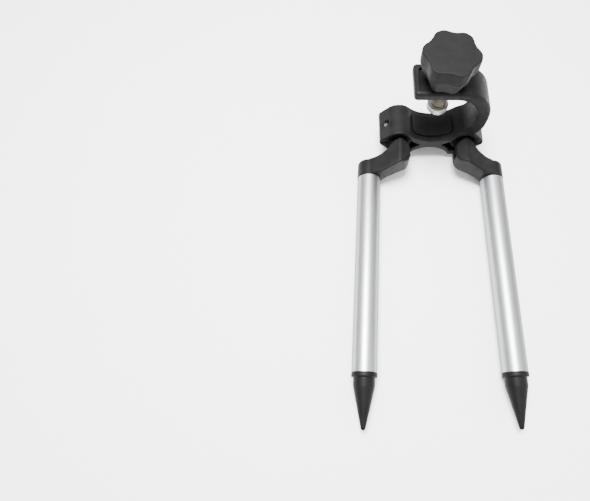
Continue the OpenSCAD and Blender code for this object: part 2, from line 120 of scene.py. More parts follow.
def meet(a: Grid, b: Grid, edge: float = 0.0) -> Grid:
    """The space that two shapes share, with its edges rounded.

    Args:
        a: Distances to the first shape.
        b: Distances to the second shape.
        edge: Radius of the edges where the two meet.

    Returns:
        Distances to what both hold.
    """
    rounded = np.hypot(np.maximum(edge + a, 0), np.maximum(edge + b, 0))
    return np.minimum(-edge, np.maximum(a, b)) + rounded


def join(a: Grid, b: Grid, fillet: float = 0.0) -> Grid:
    """The two shapes together, with a fillet in the corner between them.

    Args:
        a: Distances to the first shape.
        b: Distances to the second shape.
        fillet: Radius of the fillet.

    Returns:
        Distances to what either holds.
    """
    return -meet(-a, -b, fillet)


def cut(a: Grid, b: Grid, edge: float = 0.0) -> Grid:
    """The first shape without the second.

    Args:
        a: Distances to the shape that is cut.
        b: Distances to the cutter.
        edge: Radius of the edges that the cut leaves.

    Returns:
        Distances to what is left.
    """
    return meet(a, -b, edge)


def rounded_plate(u: Grid, v: Grid, low: Pair, high: Pair, corner: float) -> Grid:
    """Distance to a rectangle with round corners.

    Args:
        u: First coordinate of the points.
        v: Second coordinate of the points.
        low: The rectangle's lowest corner.
        high: The rectangle's highest corner.
        corner: Radius of the corners.

    Returns:
        The signed distance of each point.
    """
    return meet(slab(u, low[0], high[0]), slab(v, low[1], high[1]), corner)


# Meshes

@dataclass
class Sculptor:
    """Turns a distance field into an even mesh of quads.

    Attributes:
        step: Size of the quads.
        relax_rounds: How often the points are evened out along the surface.
        settle_rounds: How often the points are drawn to the surface each time.
        probes: How many probe lengths, over which the slope is taken, make one step.
        least_slope: Smallest square of the slope that a move is worked out from.
    """

    step: float
    relax_rounds: int = 3
    settle_rounds: int = 3
    probes: int = 20
    least_slope: float = 0.2

    def settle(self, shape: Field, points: Grid) -> Grid:
        """Draws points onto the surface.

        Args:
            shape: The distance field.
            points: Points near its surface.

        Returns:
            The points on the surface.
        """
        reach = self.step / self.probes
        for _ in range(self.settle_rounds):
            slope = np.empty_like(points)
            for axis in range(3):
                nudge = np.zeros(3)
                nudge[axis] = reach
                slope[:, axis] = (shape(points + nudge) - shape(points - nudge)) / (2 * reach)
            steep = np.maximum((slope**2).sum(1), self.least_slope)
            move = np.clip(shape(points) / steep, -self.step, self.step)
            points = points - move[:, None] * slope
        return points

    def quads(self, inside: Grid, numbers: Grid) -> Grid:
        """Finds the quads round the grid's edges that the surface crosses.

        Args:
            inside: Which grid points lie in the shape.
            numbers: The number of each crossed cell's point.

        Returns:
            Four point numbers for each quad, facing outwards.
        """
        faces = []
        for axis in range(3):
            first, second = (axis + 1) % 3, (axis + 2) % 3
            starts = np.moveaxis(inside, axis, 0)[:-1]
            ends = np.moveaxis(inside, axis, 0)[1:]
            edges = np.argwhere(np.moveaxis(starts != ends, 0, axis))
            leaving = inside[tuple(edges.T)]
            ring = np.zeros((4, 3), int)
            ring[1:3, first] = -1
            ring[2:4, second] = -1
            cells = edges[:, None] + ring
            found = numbers[cells[..., 0], cells[..., 1], cells[..., 2]]
            faces.append(np.where(leaving[:, None], found, found[:, ::-1]))
        return np.concatenate(faces)

    def sculpt(self, shape: Field, low: Sequence[float], high: Sequence[float]) -> MeshData:
        """Meshes the surface of a field inside a box.

        Args:
            shape: The distance field.
            low: The box's lowest corner.
            high: The box's highest corner.

        Returns:
            The points, and four point numbers for each quad.
        """
        start = np.array(low) - 2 * self.step
        axes = [a + self.step * np.arange((b - a) / self.step + 3) for a, b in zip(start, high)]
        inside = shape(np.stack(np.meshgrid(*axes, indexing="ij"), -1)) < 0
        ends = [slice(None, -1), slice(1, None)]
        corners = [inside[choice] for choice in itertools.product(ends, repeat=3)]
        crossed = np.logical_or.reduce(corners) & ~np.logical_and.reduce(corners)
        numbers = np.full(crossed.shape, -1)
        numbers[crossed] = np.arange(crossed.sum())
        points = self.settle(shape, start + (np.argwhere(crossed) + 0.5) * self.step)
        faces = self.quads(inside, numbers)
        share = np.bincount(faces.ravel(), minlength=len(points))[:, None]
        for _ in range(self.relax_rounds):
            middles = points[faces].mean(1)
            total = np.zeros_like(points)
            for corner in range(4):
                np.add.at(total, faces[:, corner], middles)
            points = self.settle(shape, total / share)
        return points, faces


def revolve(profile: Profile, segments: int) -> MeshData:
    """Turns an outline round its axis.

    Args:
        profile: Radius and height of each point, from one end of the axis to the other.
        segments: How many steps make the full turn.

    Returns:
        The points round the third axis, and four point numbers for each quad.
    """
    outline = np.array(profile)
    turn = np.linspace(0, 2 * np.pi, segments, endpoint=False)
    points = np.empty((len(outline), segments, 3))
    points[..., 0] = outline[:, :1] * np.cos(turn)
    points[..., 1] = outline[:, :1] * np.sin(turn)
    points[..., 2] = outline[:, 1:]
    here = np.arange(len(outline) - 1)[:, None] * segments + np.arange(segments)
    beside = np.roll(here, -1, axis=1)
    faces = np.stack([here, beside, beside + segments, here + segments], -1).reshape(-1, 4)
    return points.reshape(-1, 3), faces


def arc(centre: Pair, radius: float, start: float, end: float, steps: int = 6) -> Profile:
    """Points along an arc of an outline.

    Args:
        centre: The arc's middle.
        radius: The arc's radius.
        start: Where the arc starts, in degrees.
        end: Where the arc ends, in degrees.
        steps: How many steps the arc has.

    Returns:
        The points, both ends included.
    """
    angles = np.radians(np.linspace(start, end, steps + 1))
    return [(centre[0] + radius * math.cos(a), centre[1] + radius * math.sin(a)) for a in angles]


def make_piece(
    name: str, points: Grid, faces: Grid, material: Material, sharp: float = 40.0
) -> bpy.types.Object:
    """Makes an object from points in millimetres.

    Args:
        name: The piece's name.
        points: The mesh's points.
        faces: Point numbers for each face.
        material: The piece's finish.
        sharp: Edges that turn by more than this many degrees stay sharp.

    Returns:
        The new object, linked to the scene.
    """
    mesh = bpy.data.meshes.new(name)
    mesh.from_pydata((np.asarray(points) * MM).tolist(), [], np.asarray(faces).tolist())
    piece = bpy.data.objects.new(name, mesh)
    bpy.context.scene.collection.objects.link(piece)
    close_mesh(mesh)
    mesh.materials.append(material)
    mesh.shade_smooth()
    mesh.set_sharp_from_angle(angle=math.radians(sharp))
    return piece


def close_mesh(mesh: bpy.types.Mesh) -> None:
    """Merges doubled points, drops faces without area and turns all faces outwards.

    Args:
        mesh: The mesh.
    """
    shell = bmesh.new()
    shell.from_mesh(mesh)
    bmesh.ops.remove_doubles(shell, verts=shell.verts, dist=DOUBLED)
    bmesh.ops.dissolve_degenerate(shell, edges=shell.edges, dist=NARROW)
    bmesh.ops.recalc_face_normals(shell, faces=shell.faces)
    shell.to_mesh(mesh)
    shell.free()


def settle_piece(piece: bpy.types.Object, body: str, slot: str, *nodes: str) -> None:
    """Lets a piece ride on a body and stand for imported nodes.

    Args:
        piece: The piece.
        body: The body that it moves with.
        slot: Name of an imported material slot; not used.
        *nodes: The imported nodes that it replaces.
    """
    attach(piece, body)
    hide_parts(*nodes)
    LOG.info("%s: %d faces on %s", piece.name, len(piece.data.polygons), body)


# Finishes

# Parts of a noise's range that are spread over the whole of its effect
PATCH_SPAN = (0.35, 0.65)
RUB_SPAN = (0.4, 0.7)
GLOSS_SPAN = (0.3, 0.7)
UNIT = (0.0, 1.0)


def grey(level: float) -> Colour:
    """A colour with the same amount of red, green and blue."""
    return (level, level, level)


class Shader:
    """A material whose colour, gloss and relief come from procedural patterns."""

    def __init__(self, name: str, roughness: float, metallic: float = 0.0) -> None:
        """Starts a material.

        Args:
            name: The material's name.
            roughness: Roughness where no pattern changes it.
            metallic: 1 for bare metal and 0 for anything else.
        """
        self.material = bpy.data.materials.new(name)
        self.material.use_nodes = True
        self.tree = self.material.node_tree
        self.surface = self.tree.nodes["Principled BSDF"]
        self.surface.inputs["Roughness"].default_value = roughness
        self.surface.inputs["Metallic"].default_value = metallic
        self.place = self.tree.nodes.new("ShaderNodeTexCoord").outputs["Object"]

    def link(self, output: Socket, target: Socket) -> None:
        """Connects two sockets."""
        self.tree.links.new(output, target)

    def noise(
        self, size: float, detail: float = 3.0, stretch: Triple = (1, 1, 1), turn: float = 0.0
    ) -> Socket:
        """Adds a cloudy pattern.

        Args:
            size: Size of the pattern's features.
            detail: How much finer detail it has.
            stretch: How much longer the features are along each axis.
            turn: Turn of the pattern about Z, in degrees.

        Returns:
            The pattern's value, from 0 to 1.
        """
        mapping = self.tree.nodes.new("ShaderNodeMapping")
        mapping.vector_type = "TEXTURE"
        mapping.inputs["Scale"].default_value = stretch
        mapping.inputs["Rotation"].default_value = (0, 0, math.radians(turn))
        pattern = self.tree.nodes.new("ShaderNodeTexNoise")
        pattern.inputs["Scale"].default_value = 1 / (size * MM)
        pattern.inputs["Detail"].default_value = detail
        self.link(self.place, mapping.inputs["Vector"])
        self.link(mapping.outputs["Vector"], pattern.inputs["Vector"])
        return pattern.outputs["Fac"]

    def remap(self, value: Socket, source: Pair, result: Pair) -> Socket:
        """Maps one range of values to another.

        Args:
            value: The value.
            source: The range that it comes in.
            result: The range that it goes out in.

        Returns:
            The new value, kept inside its range.
        """
        node = self.tree.nodes.new("ShaderNodeMapRange")
        node.inputs["From Min"].default_value, node.inputs["From Max"].default_value = source
        node.inputs["To Min"].default_value, node.inputs["To Max"].default_value = result
        self.link(value, node.inputs["Value"])
        return node.outputs["Result"]

    def blend(self, amount: Socket, first: Colour | Socket, second: Colour) -> Socket:
        """Mixes two colours.

        Args:
            amount: Share of the second colour.
            first: The first colour, or the output of another mix.
            second: The second colour.

        Returns:
            The mixed colour.
        """
        node = self.tree.nodes.new("ShaderNodeMix")
        node.data_type = "RGBA"
        if isinstance(first, tuple):
            node.inputs["A"].default_value = (*first, 1)
        else:
            self.link(first, node.inputs["A"])
        node.inputs["B"].default_value = (*second, 1)
        self.link(amount, node.inputs["Factor"])
        return node.outputs["Result"]

    def edges(self, start: float = 0.53, full: float = 0.62) -> Socket:
        """Rises from 0 on flat faces to 1 on outer edges, between two degrees of pointiness."""
        pointed = self.tree.nodes.new("ShaderNodeNewGeometry").outputs["Pointiness"]
        return self.remap(pointed, (start, full), UNIT)

    def relief(self, height: Socket, depth: float, strength: float) -> None:
        """Adds fine relief on top of what is there.

        Args:
            height: Height of the relief, from 0 to 1.
            depth: Depth of the relief at full height.
            strength: How strongly it shows.
        """
        node = self.tree.nodes.new("ShaderNodeBump")
        node.inputs["Strength"].default_value = strength
        node.inputs["Distance"].default_value = depth * MM
        self.link(height, node.inputs["Height"])
        normal = self.surface.inputs["Normal"]
        if normal.is_linked:
            self.link(normal.links[0].from_socket, node.inputs["Normal"])
        self.link(node.outputs["Normal"], normal)

    def colour(self, output: Socket) -> None:
        """Takes the surface's colour from a pattern."""
        self.link(output, self.surface.inputs["Base Color"])

    def gloss(self, output: Socket) -> None:
        """Takes the surface's roughness from a pattern."""
        self.link(output, self.surface.inputs["Roughness"])


@dataclass(frozen=True)
class CoatFinish:
    """A sprayed or moulded dark skin with a fine grain.

    Attributes:
        name: The material's name.
        dark: Colour of the darker patches.
        light: Colour of the lighter patches.
        worn: Colour of rubbed edges.
        wear: How much of the worn colour shows on edges.
        roughness: Lowest and highest roughness.
        grain: Size of the grain.
        depth: Depth of the grain.
        level: Strength of the reflection.
        patch: Size of the patches.
        rub: Size of the rubbed spots.
        sheen: Size of the spots with another gloss.
        strength: How strongly the grain shows.
    """

    name: str
    dark: Colour
    light: Colour
    worn: Colour
    wear: float
    roughness: Pair
    grain: float
    depth: float
    level: float = 0.5
    patch: float = 9.0
    rub: float = 2.5
    sheen: float = 4.0
    strength: float = 0.35

    def make(self) -> Material:
        """Builds the material.

        Returns:
            The material.
        """
        shader = Shader(self.name, sum(self.roughness) / 2)
        shader.surface.inputs["Specular IOR Level"].default_value = self.level
        patches = shader.remap(shader.noise(self.patch, detail=4), PATCH_SPAN, UNIT)
        skin = shader.blend(patches, self.dark, self.light)
        rubbed = shader.remap(shader.noise(self.rub, detail=5), RUB_SPAN, (0, self.wear))
        at_edges = shader.tree.nodes.new("ShaderNodeMath")
        at_edges.operation = "MULTIPLY"
        shader.link(shader.edges(), at_edges.inputs[0])
        shader.link(rubbed, at_edges.inputs[1])
        shader.colour(shader.blend(at_edges.outputs[0], skin, self.worn))
        shader.gloss(shader.remap(shader.noise(self.sheen, detail=4), GLOSS_SPAN, self.roughness))
        shader.relief(shader.noise(self.grain), self.depth, self.strength)
        return shader.material


@dataclass(frozen=True)
class MetalFinish:
    """Bare or plated metal with fine lines from its making.

    Attributes:
        name: The material's name.
        dark: Colour of the duller streaks.
        light: Colour of the brighter streaks.
        roughness: Lowest and highest roughness.
        line: Width of the fine lines.
        stretch: How much longer the lines are along each axis.
        turn: Turn of the lines about Z, in degrees.
        depth: Depth of the lines.
        graze: Share of the light that is reflected at grazing angles.
        cloud: Size of the brighter and duller streaks.
        strength: How strongly the lines show.
    """

    name: str
    dark: Colour
    light: Colour
    roughness: Pair
    line: float
    stretch: Triple
    turn: float = 0.0
    depth: float = 0.01
    graze: float = 1.0
    cloud: float = 14.0
    strength: float = 0.25

    def make(self) -> Material:
        """Builds the material.

        Returns:
            The material.
        """
        shader = Shader(self.name, sum(self.roughness) / 2, metallic=1.0)
        shader.surface.inputs["Specular Tint"].default_value = (*grey(self.graze), 1)
        lines = shader.noise(self.line, stretch=self.stretch, turn=self.turn)
        clouds = shader.noise(self.cloud, stretch=self.stretch, turn=self.turn)
        shader.colour(shader.blend(shader.remap(clouds, GLOSS_SPAN, UNIT), self.dark, self.light))
        shader.gloss(shader.remap(lines, GLOSS_SPAN, self.roughness))
        shader.relief(lines, self.depth, self.strength)
        return shader.material


CASTING_COAT = CoatFinish(
    "casting_coat", (0.0035, 0.0035, 0.0037), (0.006, 0.006, 0.0062), grey(0.014),
    wear=0.3, roughness=(0.46, 0.58), grain=0.28, depth=0.02, level=0.11,
)
# The stubs have a real black coat, but this one is darker and duller than the casting's as painted shade, so
# the collars in the barrels' near recesses read as the shade there.
SWIVEL_PAINTED_SHADE = CoatFinish(
    "swivel_painted_shade_coat", grey(0.0012), grey(0.002), grey(0.008),
    wear=0.3, roughness=(0.5, 0.6), grain=0.28, depth=0.02, level=0.03,
)
KNOB_SKIN = CoatFinish(
    "knob_skin", grey(0.0055), grey(0.0075), grey(0.014),
    wear=0.3, roughness=(0.56, 0.66), grain=0.22, depth=0.02, level=0.09,
)
FOOT_COAT = CoatFinish(
    "foot_coat", grey(0.003), grey(0.0045), grey(0.012),
    wear=0.4, roughness=(0.44, 0.56), grain=0.3, depth=0.02, level=0.1,
)
SEAT_RUBBER = CoatFinish(
    "seat_rubber", grey(0.0035), grey(0.005), grey(0.01),
    wear=0.2, roughness=(0.62, 0.74), grain=0.35, depth=0.03, level=0.1,
)
NYLON = CoatFinish(
    "nylon", (0.42, 0.40, 0.35), (0.5, 0.48, 0.42), (0.55, 0.53, 0.47),
    wear=0.2, roughness=(0.4, 0.5), grain=0.4, depth=0.01,
)
RIGHT_TUBE = MetalFinish(
    "right_tube_anodised", (0.36, 0.37, 0.38), (0.42, 0.43, 0.44),
    roughness=(0.34, 0.44), line=0.35, stretch=(1, 60, 1), graze=0.25,
)
LEFT_TUBE = replace(RIGHT_TUBE, name="left_tube_anodised", turn=-SPLAY[Side.LEFT])
NICKEL = MetalFinish(
    "nickel_plate", (0.34, 0.33, 0.31), (0.42, 0.41, 0.39),
    roughness=(0.44, 0.54), line=0.25, stretch=(6, 6, 1),
)
SCREW_STEEL = MetalFinish(
    "screw_steel", (0.15, 0.13, 0.10), (0.26, 0.24, 0.20),
    roughness=(0.3, 0.45), line=0.25, stretch=(6, 6, 1),
)
BLACKED_STEEL = MetalFinish(
    "blacked_steel", grey(0.08), grey(0.14), roughness=(0.3, 0.42), line=0.2, stretch=(4, 4, 1)
)
ZINC = MetalFinish(
    "zinc_plate", (0.55, 0.55, 0.54), (0.68, 0.68, 0.67),
    roughness=(0.24, 0.38), line=0.2, stretch=(4, 4, 1),
)
BRASS = MetalFinish(
    "turned_brass", (0.58, 0.43, 0.19), (0.70, 0.54, 0.27),
    roughness=(0.22, 0.34), line=0.2, stretch=(6, 6, 1),
)
FINISHES = (
    CASTING_COAT, SWIVEL_PAINTED_SHADE, KNOB_SKIN, FOOT_COAT, SEAT_RUBBER, NYLON, LEFT_TUBE, RIGHT_TUBE, NICKEL,
    SCREW_STEEL, BLACKED_STEEL, ZINC, BRASS,
)


# The head

@dataclass
class Head:
    """The casting that holds the pole, with its rubber seat and its lug screws.

    Attributes:
        axis_z: Height of the barrel axes.
        half_w: Half the head's width along the pole.
        barrel_x: Distance of the barrels from the centre plane.
        barrel_r: Outside radius of a barrel.
        saddle_h: Height of the saddle above the barrel axes.
        waist_t: Thickness of the waist.
        arch_r: Radius of the arch under the waist.
        skirt_x: Reach of the skirts beside the arch.
        skirt_h: Drop of the skirts below the barrel axes.
        front_wall: Wall between the saddle and the pockets at the near end.
        back_wall: Wall between the arch's crown and the pockets.
        brow_r: Radius of the pockets' side next to the saddle.
        strut_r: Radius of the pockets' side next to the arch.
        pocket_wall: Wall left round the barrels and under the pockets.
        pocket_depth: Depth of the pockets at the near end.
        lug_reach: Reach of a lug beyond its barrel axis.
        lug_edge: Thickness of a lug's outer edge.
        slit_t: Width of the slit in each lug.
        recess_r: Radius of the recesses at a barrel's ends.
        near_depth: Depth of the recess at the near end.
        far_depth: Depth of the recess at the far end.
        bore_r: Radius of a barrel's bore.
        jaw_under: Height of the jaw's underside above the barrel axes.
        jaw_t: Thickness of the jaw.
        jaw_reach: Reach of the jaw's free end.
        jaw_corner_r: Radius of the jaw's corners seen from the knob.
        throat_x: Distance of the throat's back.
        throat_r: Radius of the round throat.
        hook_x: Distance of the hook's back.
        hook_r: Radius of the hook's back.
        rim_w: Width of the rim round the jaw's panel.
        panel_depth: Depth of the jaw's panel.
        panel_r: Radius of the panel's corners.
        panel_x: Distance of the panel's inner end.
        bush_r: Radius of the hole for the bush.
        bush_overrun: How far the cutter of that hole runs past the jaw's underside.
        edge_r: Radius of the casting's edges.
        fillet_r: Radius of the casting's inner corners.
        hook_edge_r: Radius of the hook's long edges.
        liner_proud: Height of the rubber seat above the saddle.
        liner_sunk: Depth of the rubber seat in the saddle.
        liner_x: Half the width of the rubber seat.
        liner_lip: Lip of casting at each end of the rubber seat.
        liner_corner_r: Radius of the rubber seat's corners.
        liner_gap: Gap round the rubber seat.
        liner_edge_r: Radius of the edges round the rubber seat.
        screw_x: Distance of the lug screws.
        screw_seat: Height of the lug screws' seats above the barrel axes.
        screw_r: Radius of a lug screw.
        screw_len: Length of a lug screw.
        screw_head_r: Radius of a lug screw's head.
        screw_head_h: Height of a lug screw's head.
        screw_socket: Size of the socket in a lug screw's head.
        screw_room: Gap round a lug screw's head.
        saddle_r: Radius of the saddle, which follows from the barrels.
    """

    axis_z: float = -4.0
    half_w: float = 15.0
    barrel_x: float = 29.0
    barrel_r: float = 13.5
    saddle_h: float = 2.5
    waist_t: float = 9.5
    arch_r: float = 21.0
    skirt_x: float = 24.0
    skirt_h: float = 18.0
    front_wall: float = 7.2
    back_wall: float = 6.7
    brow_r: float = 28.1
    strut_r: float = 20.2
    pocket_wall: float = 1.5
    pocket_depth: float = 12.0
    lug_reach: float = 17.0
    lug_edge: float = 4.0
    slit_t: float = 1.2
    recess_r: float = 10.55
    near_depth: float = 2.55
    far_depth: float = 5.0
    bore_r: float = 9.02
    jaw_under: float = 52.5
    jaw_t: float = 8.0
    jaw_reach: float = 24.0
    jaw_corner_r: float = 3.0
    throat_x: float = 32.0
    throat_r: float = 22.8
    hook_x: float = 42.5
    hook_r: float = 31.0
    rim_w: float = 4.5
    panel_depth: float = 2.5
    panel_r: float = 2.0
    panel_x: float = 13.0
    bush_r: float = 8.0
    bush_overrun: float = 1.0
    edge_r: float = 0.9
    fillet_r: float = 1.2
    hook_edge_r: float = 2.6
    liner_proud: float = 1.5
    liner_sunk: float = 1.0
    liner_x: float = 17.5
    liner_lip: float = 5.0
    liner_corner_r: float = 4.0
    liner_gap: float = 0.3
    liner_edge_r: float = 0.15
    screw_x: float = 40.22
    screw_seat: float = 3.0
    screw_r: float = 1.5
    screw_len: float = 9.0
    screw_head_r: float = 2.25
    screw_head_h: float = 3.0
    screw_socket: float = 2.2
    screw_room: float = 0.3
    saddle_r: float = field(init=False)

    def __post_init__(self) -> None:
        """Works out the saddle's arc, which runs tangent into both barrels."""
        rise = self.barrel_r - self.saddle_h
        self.saddle_r = (self.barrel_x**2 + self.saddle_h**2 - self.barrel_r**2) / (2 * rise)

    @property
    def saddle_mid(self) -> Pair:
        """Middle of the saddle's arc, from the barrel axes."""
        return (0.0, self.saddle_r + self.saddle_h)

    @property
    def arch_mid(self) -> Pair:
        """Middle of the arch, from the barrel axes."""
        return (0.0, self.saddle_h - self.waist_t - self.arch_r)

    @property
    def jaw_top(self) -> float:
        """Height of the jaw's top above the barrel axes."""
        return self.jaw_under + self.jaw_t

    def body_outline(self, x: Grid, h: Grid) -> Grid:
        """Distance to the waist, barrels and lugs seen along the pole.

        Args:
            x: Distance from the centre plane.
            h: Height above the barrel axes.

        Returns:
            The signed distance of each point.
        """
        across = np.abs(x)
        barrel = disc(across, h, (self.barrel_x, 0.0), self.barrel_r)
        span = math.hypot(self.lug_reach, self.lug_edge / 2)
        lean = math.atan2(self.lug_edge / 2, self.lug_reach) + math.acos(self.barrel_r / span)
        face = math.cos(lean) * (across - self.barrel_x) + math.sin(lean) * np.abs(h) - self.barrel_r
        touch = self.barrel_x + self.barrel_r * math.cos(lean)
        lug = meet(face, slab(across, touch, self.barrel_x + self.lug_reach), self.edge_r)
        lug = np.where(across < touch + self.edge_r, np.maximum(face, touch - across), lug)
        crest_x = self.barrel_x * self.saddle_r / (self.saddle_r + self.barrel_r)
        top = meet(-disc(x, h, self.saddle_mid, self.saddle_r), across - crest_x)
        top = np.maximum(top, np.maximum(h - self.saddle_mid[1], -self.barrel_r - h))
        block = np.maximum(slab(across, 0, self.barrel_x), slab(h, -self.barrel_r, 0))
        skirt = np.maximum(meet(across - self.skirt_x, -self.skirt_h - h, self.edge_r), h)
        waist = np.minimum(np.minimum(top, block), skirt)
        waist = meet(waist, -disc(x, h, self.arch_mid, self.arch_r), self.edge_r)
        return np.minimum(np.minimum(barrel, lug), waist)

    def hook_outline(self, x: Grid, h: Grid) -> Grid:
        """Distance to the hook and the jaw seen along the pole.

        Args:
            x: Distance from the centre plane.
            h: Height above the barrel axes.

        Returns:
            The signed distance of each point.
        """
        back_mid = (self.hook_x - self.hook_r, self.jaw_top - self.hook_r)
        throat_mid = (self.throat_x - self.throat_r, self.jaw_under - self.throat_r)
        back = np.hypot(np.maximum(x - back_mid[0], 0), h - back_mid[1]) - self.hook_r
        throat = disc(x, h, throat_mid, self.throat_r)
        mouth = np.maximum(x - throat_mid[0], h - self.jaw_under)
        seat = np.maximum(disc(x, h, self.saddle_mid, self.saddle_r), h - self.saddle_mid[1])
        space = np.minimum(np.minimum(throat, mouth), seat)
        return meet(np.maximum(back, -h), -space, self.edge_r)

    def pockets(self, x: Grid, h: Grid) -> Grid:
        """Distance to the hollows between the saddle and the arch at the near end.

        Args:
            x: Distance from the centre plane.
            h: Height above the barrel axes.

        Returns:
            The signed distance of each point.
        """
        across = np.abs(x)
        brow_mid = (0.0, self.saddle_h - self.front_wall + self.brow_r)
        strut_mid = (0.0, self.saddle_h - self.waist_t + self.back_wall - self.strut_r)
        walls = meet(
            -disc(x, h, brow_mid, self.brow_r), -disc(x, h, strut_mid, self.strut_r), self.edge_r
        )
        crest = self.barrel_r * self.saddle_mid[1] / (self.saddle_r + self.barrel_r)
        limits = np.maximum(across - self.barrel_x, slab(h, self.pocket_wall - self.barrel_r, crest))
        return np.maximum(walls, limits)

    def liner_space(self, p: Grid, gap: float, proud: float) -> Grid:
        """Distance to the rubber seat's shape.

        Args:
            p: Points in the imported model's frame.
            gap: How much wider than the seat the shape is.
            proud: How far the shape stands above the saddle.

        Returns:
            The signed distance of each point.
        """
        x, y, h = p[..., 0], p[..., 1], p[..., 2] - self.axis_z
        reach = self.half_w - self.liner_lip + gap
        plan = rounded_plate(
            x, y, (-self.liner_x - gap, -reach), (self.liner_x + gap, reach), self.liner_corner_r
        )
        shell = np.maximum(
            disc(x, h, self.saddle_mid, self.saddle_r + self.liner_sunk),
            -disc(x, h, self.saddle_mid, self.saddle_r - proud),
        )
        edge = self.edge_r if gap == 0 else 0.0
        return np.maximum(meet(plan, shell, edge), h - self.saddle_mid[1])

    def casting(self, p: Grid) -> Grid:
        """Distance to the finished casting.

        Args:
            p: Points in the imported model's frame.

        Returns:
            The signed distance of each point.
        """
        x, y, h = p[..., 0], p[..., 1], p[..., 2] - self.axis_z
        fine_r = self.edge_r / 2
        width = slab(y, -self.half_w, self.half_w)
        plan = rounded_plate(
            x, y, (-self.jaw_reach, -self.half_w), (self.hook_x, self.half_w), self.jaw_corner_r
        )
        hook = meet(self.hook_outline(x, h), plan, self.hook_edge_r)
        solid = join(meet(self.body_outline(x, h), width, self.edge_r), hook, self.fillet_r)
        across = np.abs(x)
        bore = disc(across, h, (self.barrel_x, 0.0), self.bore_r)
        recess = bore + self.bore_r - self.recess_r
        pocket, depth = self.pockets(x, h), y + self.half_w
        solid = cut(solid, np.maximum(pocket, depth - self.near_depth), fine_r)
        deep = np.maximum(pocket, self.pocket_wall - recess)
        solid = cut(solid, np.maximum(deep, depth - self.pocket_depth), fine_r)
        solid = cut(solid, self.liner_space(p, self.liner_gap, self.saddle_r / 2), self.liner_edge_r)
        ends = np.minimum(y + self.half_w - self.near_depth, self.half_w - self.far_depth - y)
        solid = cut(cut(solid, bore), np.maximum(recess, ends), fine_r)
        slit = np.maximum(slab(h, -self.slit_t / 2, self.slit_t / 2), self.barrel_x - across)
        solid = cut(solid, slit, self.slit_t / 5)
        head_room = np.hypot(across - self.screw_x, y) - self.screw_head_r - self.screw_room
        head_room = np.maximum(head_room, slab(h, self.screw_seat, self.screw_seat + self.barrel_r))
        solid = cut(solid, head_room, self.edge_r / 3)
        panel = rounded_plate(
            x, y, (-self.jaw_reach + self.rim_w, -self.half_w + self.rim_w),
            (self.panel_x, self.half_w - self.rim_w), self.panel_r,
        )
        solid = cut(solid, np.maximum(panel, self.jaw_top - self.panel_depth - h), fine_r)
        hole = np.maximum(np.hypot(x, y) - self.bush_r, self.jaw_under - self.bush_overrun - h)
        return cut(solid, hole)

    def build(self, palette: Palette) -> None:
        """Makes the casting, its rubber seat and its lug screws.

        Args:
            palette: The finishes by name.
        """
        low = (-self.barrel_x - self.lug_reach, -self.half_w, self.axis_z - self.skirt_h)
        high = (self.barrel_x + self.lug_reach, self.half_w, self.axis_z + self.jaw_top)
        points, faces = Sculptor(step=0.55).sculpt(self.casting, low, high)
        piece = make_piece("head_shell", points, faces, palette[CASTING_COAT.name], sharp=60)
        settle_piece(piece, "head", "black_casting", "head_casting")
        reach = self.half_w - self.liner_lip
        low = (-self.liner_x, -reach, -self.liner_proud - self.liner_sunk)
        high = (self.liner_x, reach, self.axis_z + self.barrel_r)
        liner = Sculptor(step=0.45)
        points, faces = liner.sculpt(lambda p: self.liner_space(p, 0.0, self.liner_proud), low, high)
        piece = make_piece("seat_pad", points, faces, palette[SEAT_RUBBER.name], sharp=60)
        settle_piece(piece, "head", "seat_rubber", "seat_liner")
        points, faces = socket_screw(
            self.screw_r, self.screw_len, self.screw_head_r, self.screw_head_h, self.screw_socket
        )
        finish = palette[BLACKED_STEEL.name]
        screws = make_piece("lug_bolts", points, faces, finish)
        height = self.axis_z + self.screw_seat
        pair_tree().run(screws, Reach=self.screw_x * MM, Height=height * MM, Finish=finish)
        settle_piece(screws, "head", "bright_steel", "left_lug_screw", "right_lug_screw")


# Geometry node trees and screws

# Part of a thread's flank over which its groove falls to its floor
FLANK_SPAN = (0.18, 0.82)
# Keeps the axis of a thread from a division by zero, in metres
LEAST_RADIUS = 1e-6
# Bevel of a screw, as a share of its head's height
SCREW_BEVEL = 0.12
# Depth of the cone under a screw's socket, as a share of the socket's width
SOCKET_CONE = 0.1


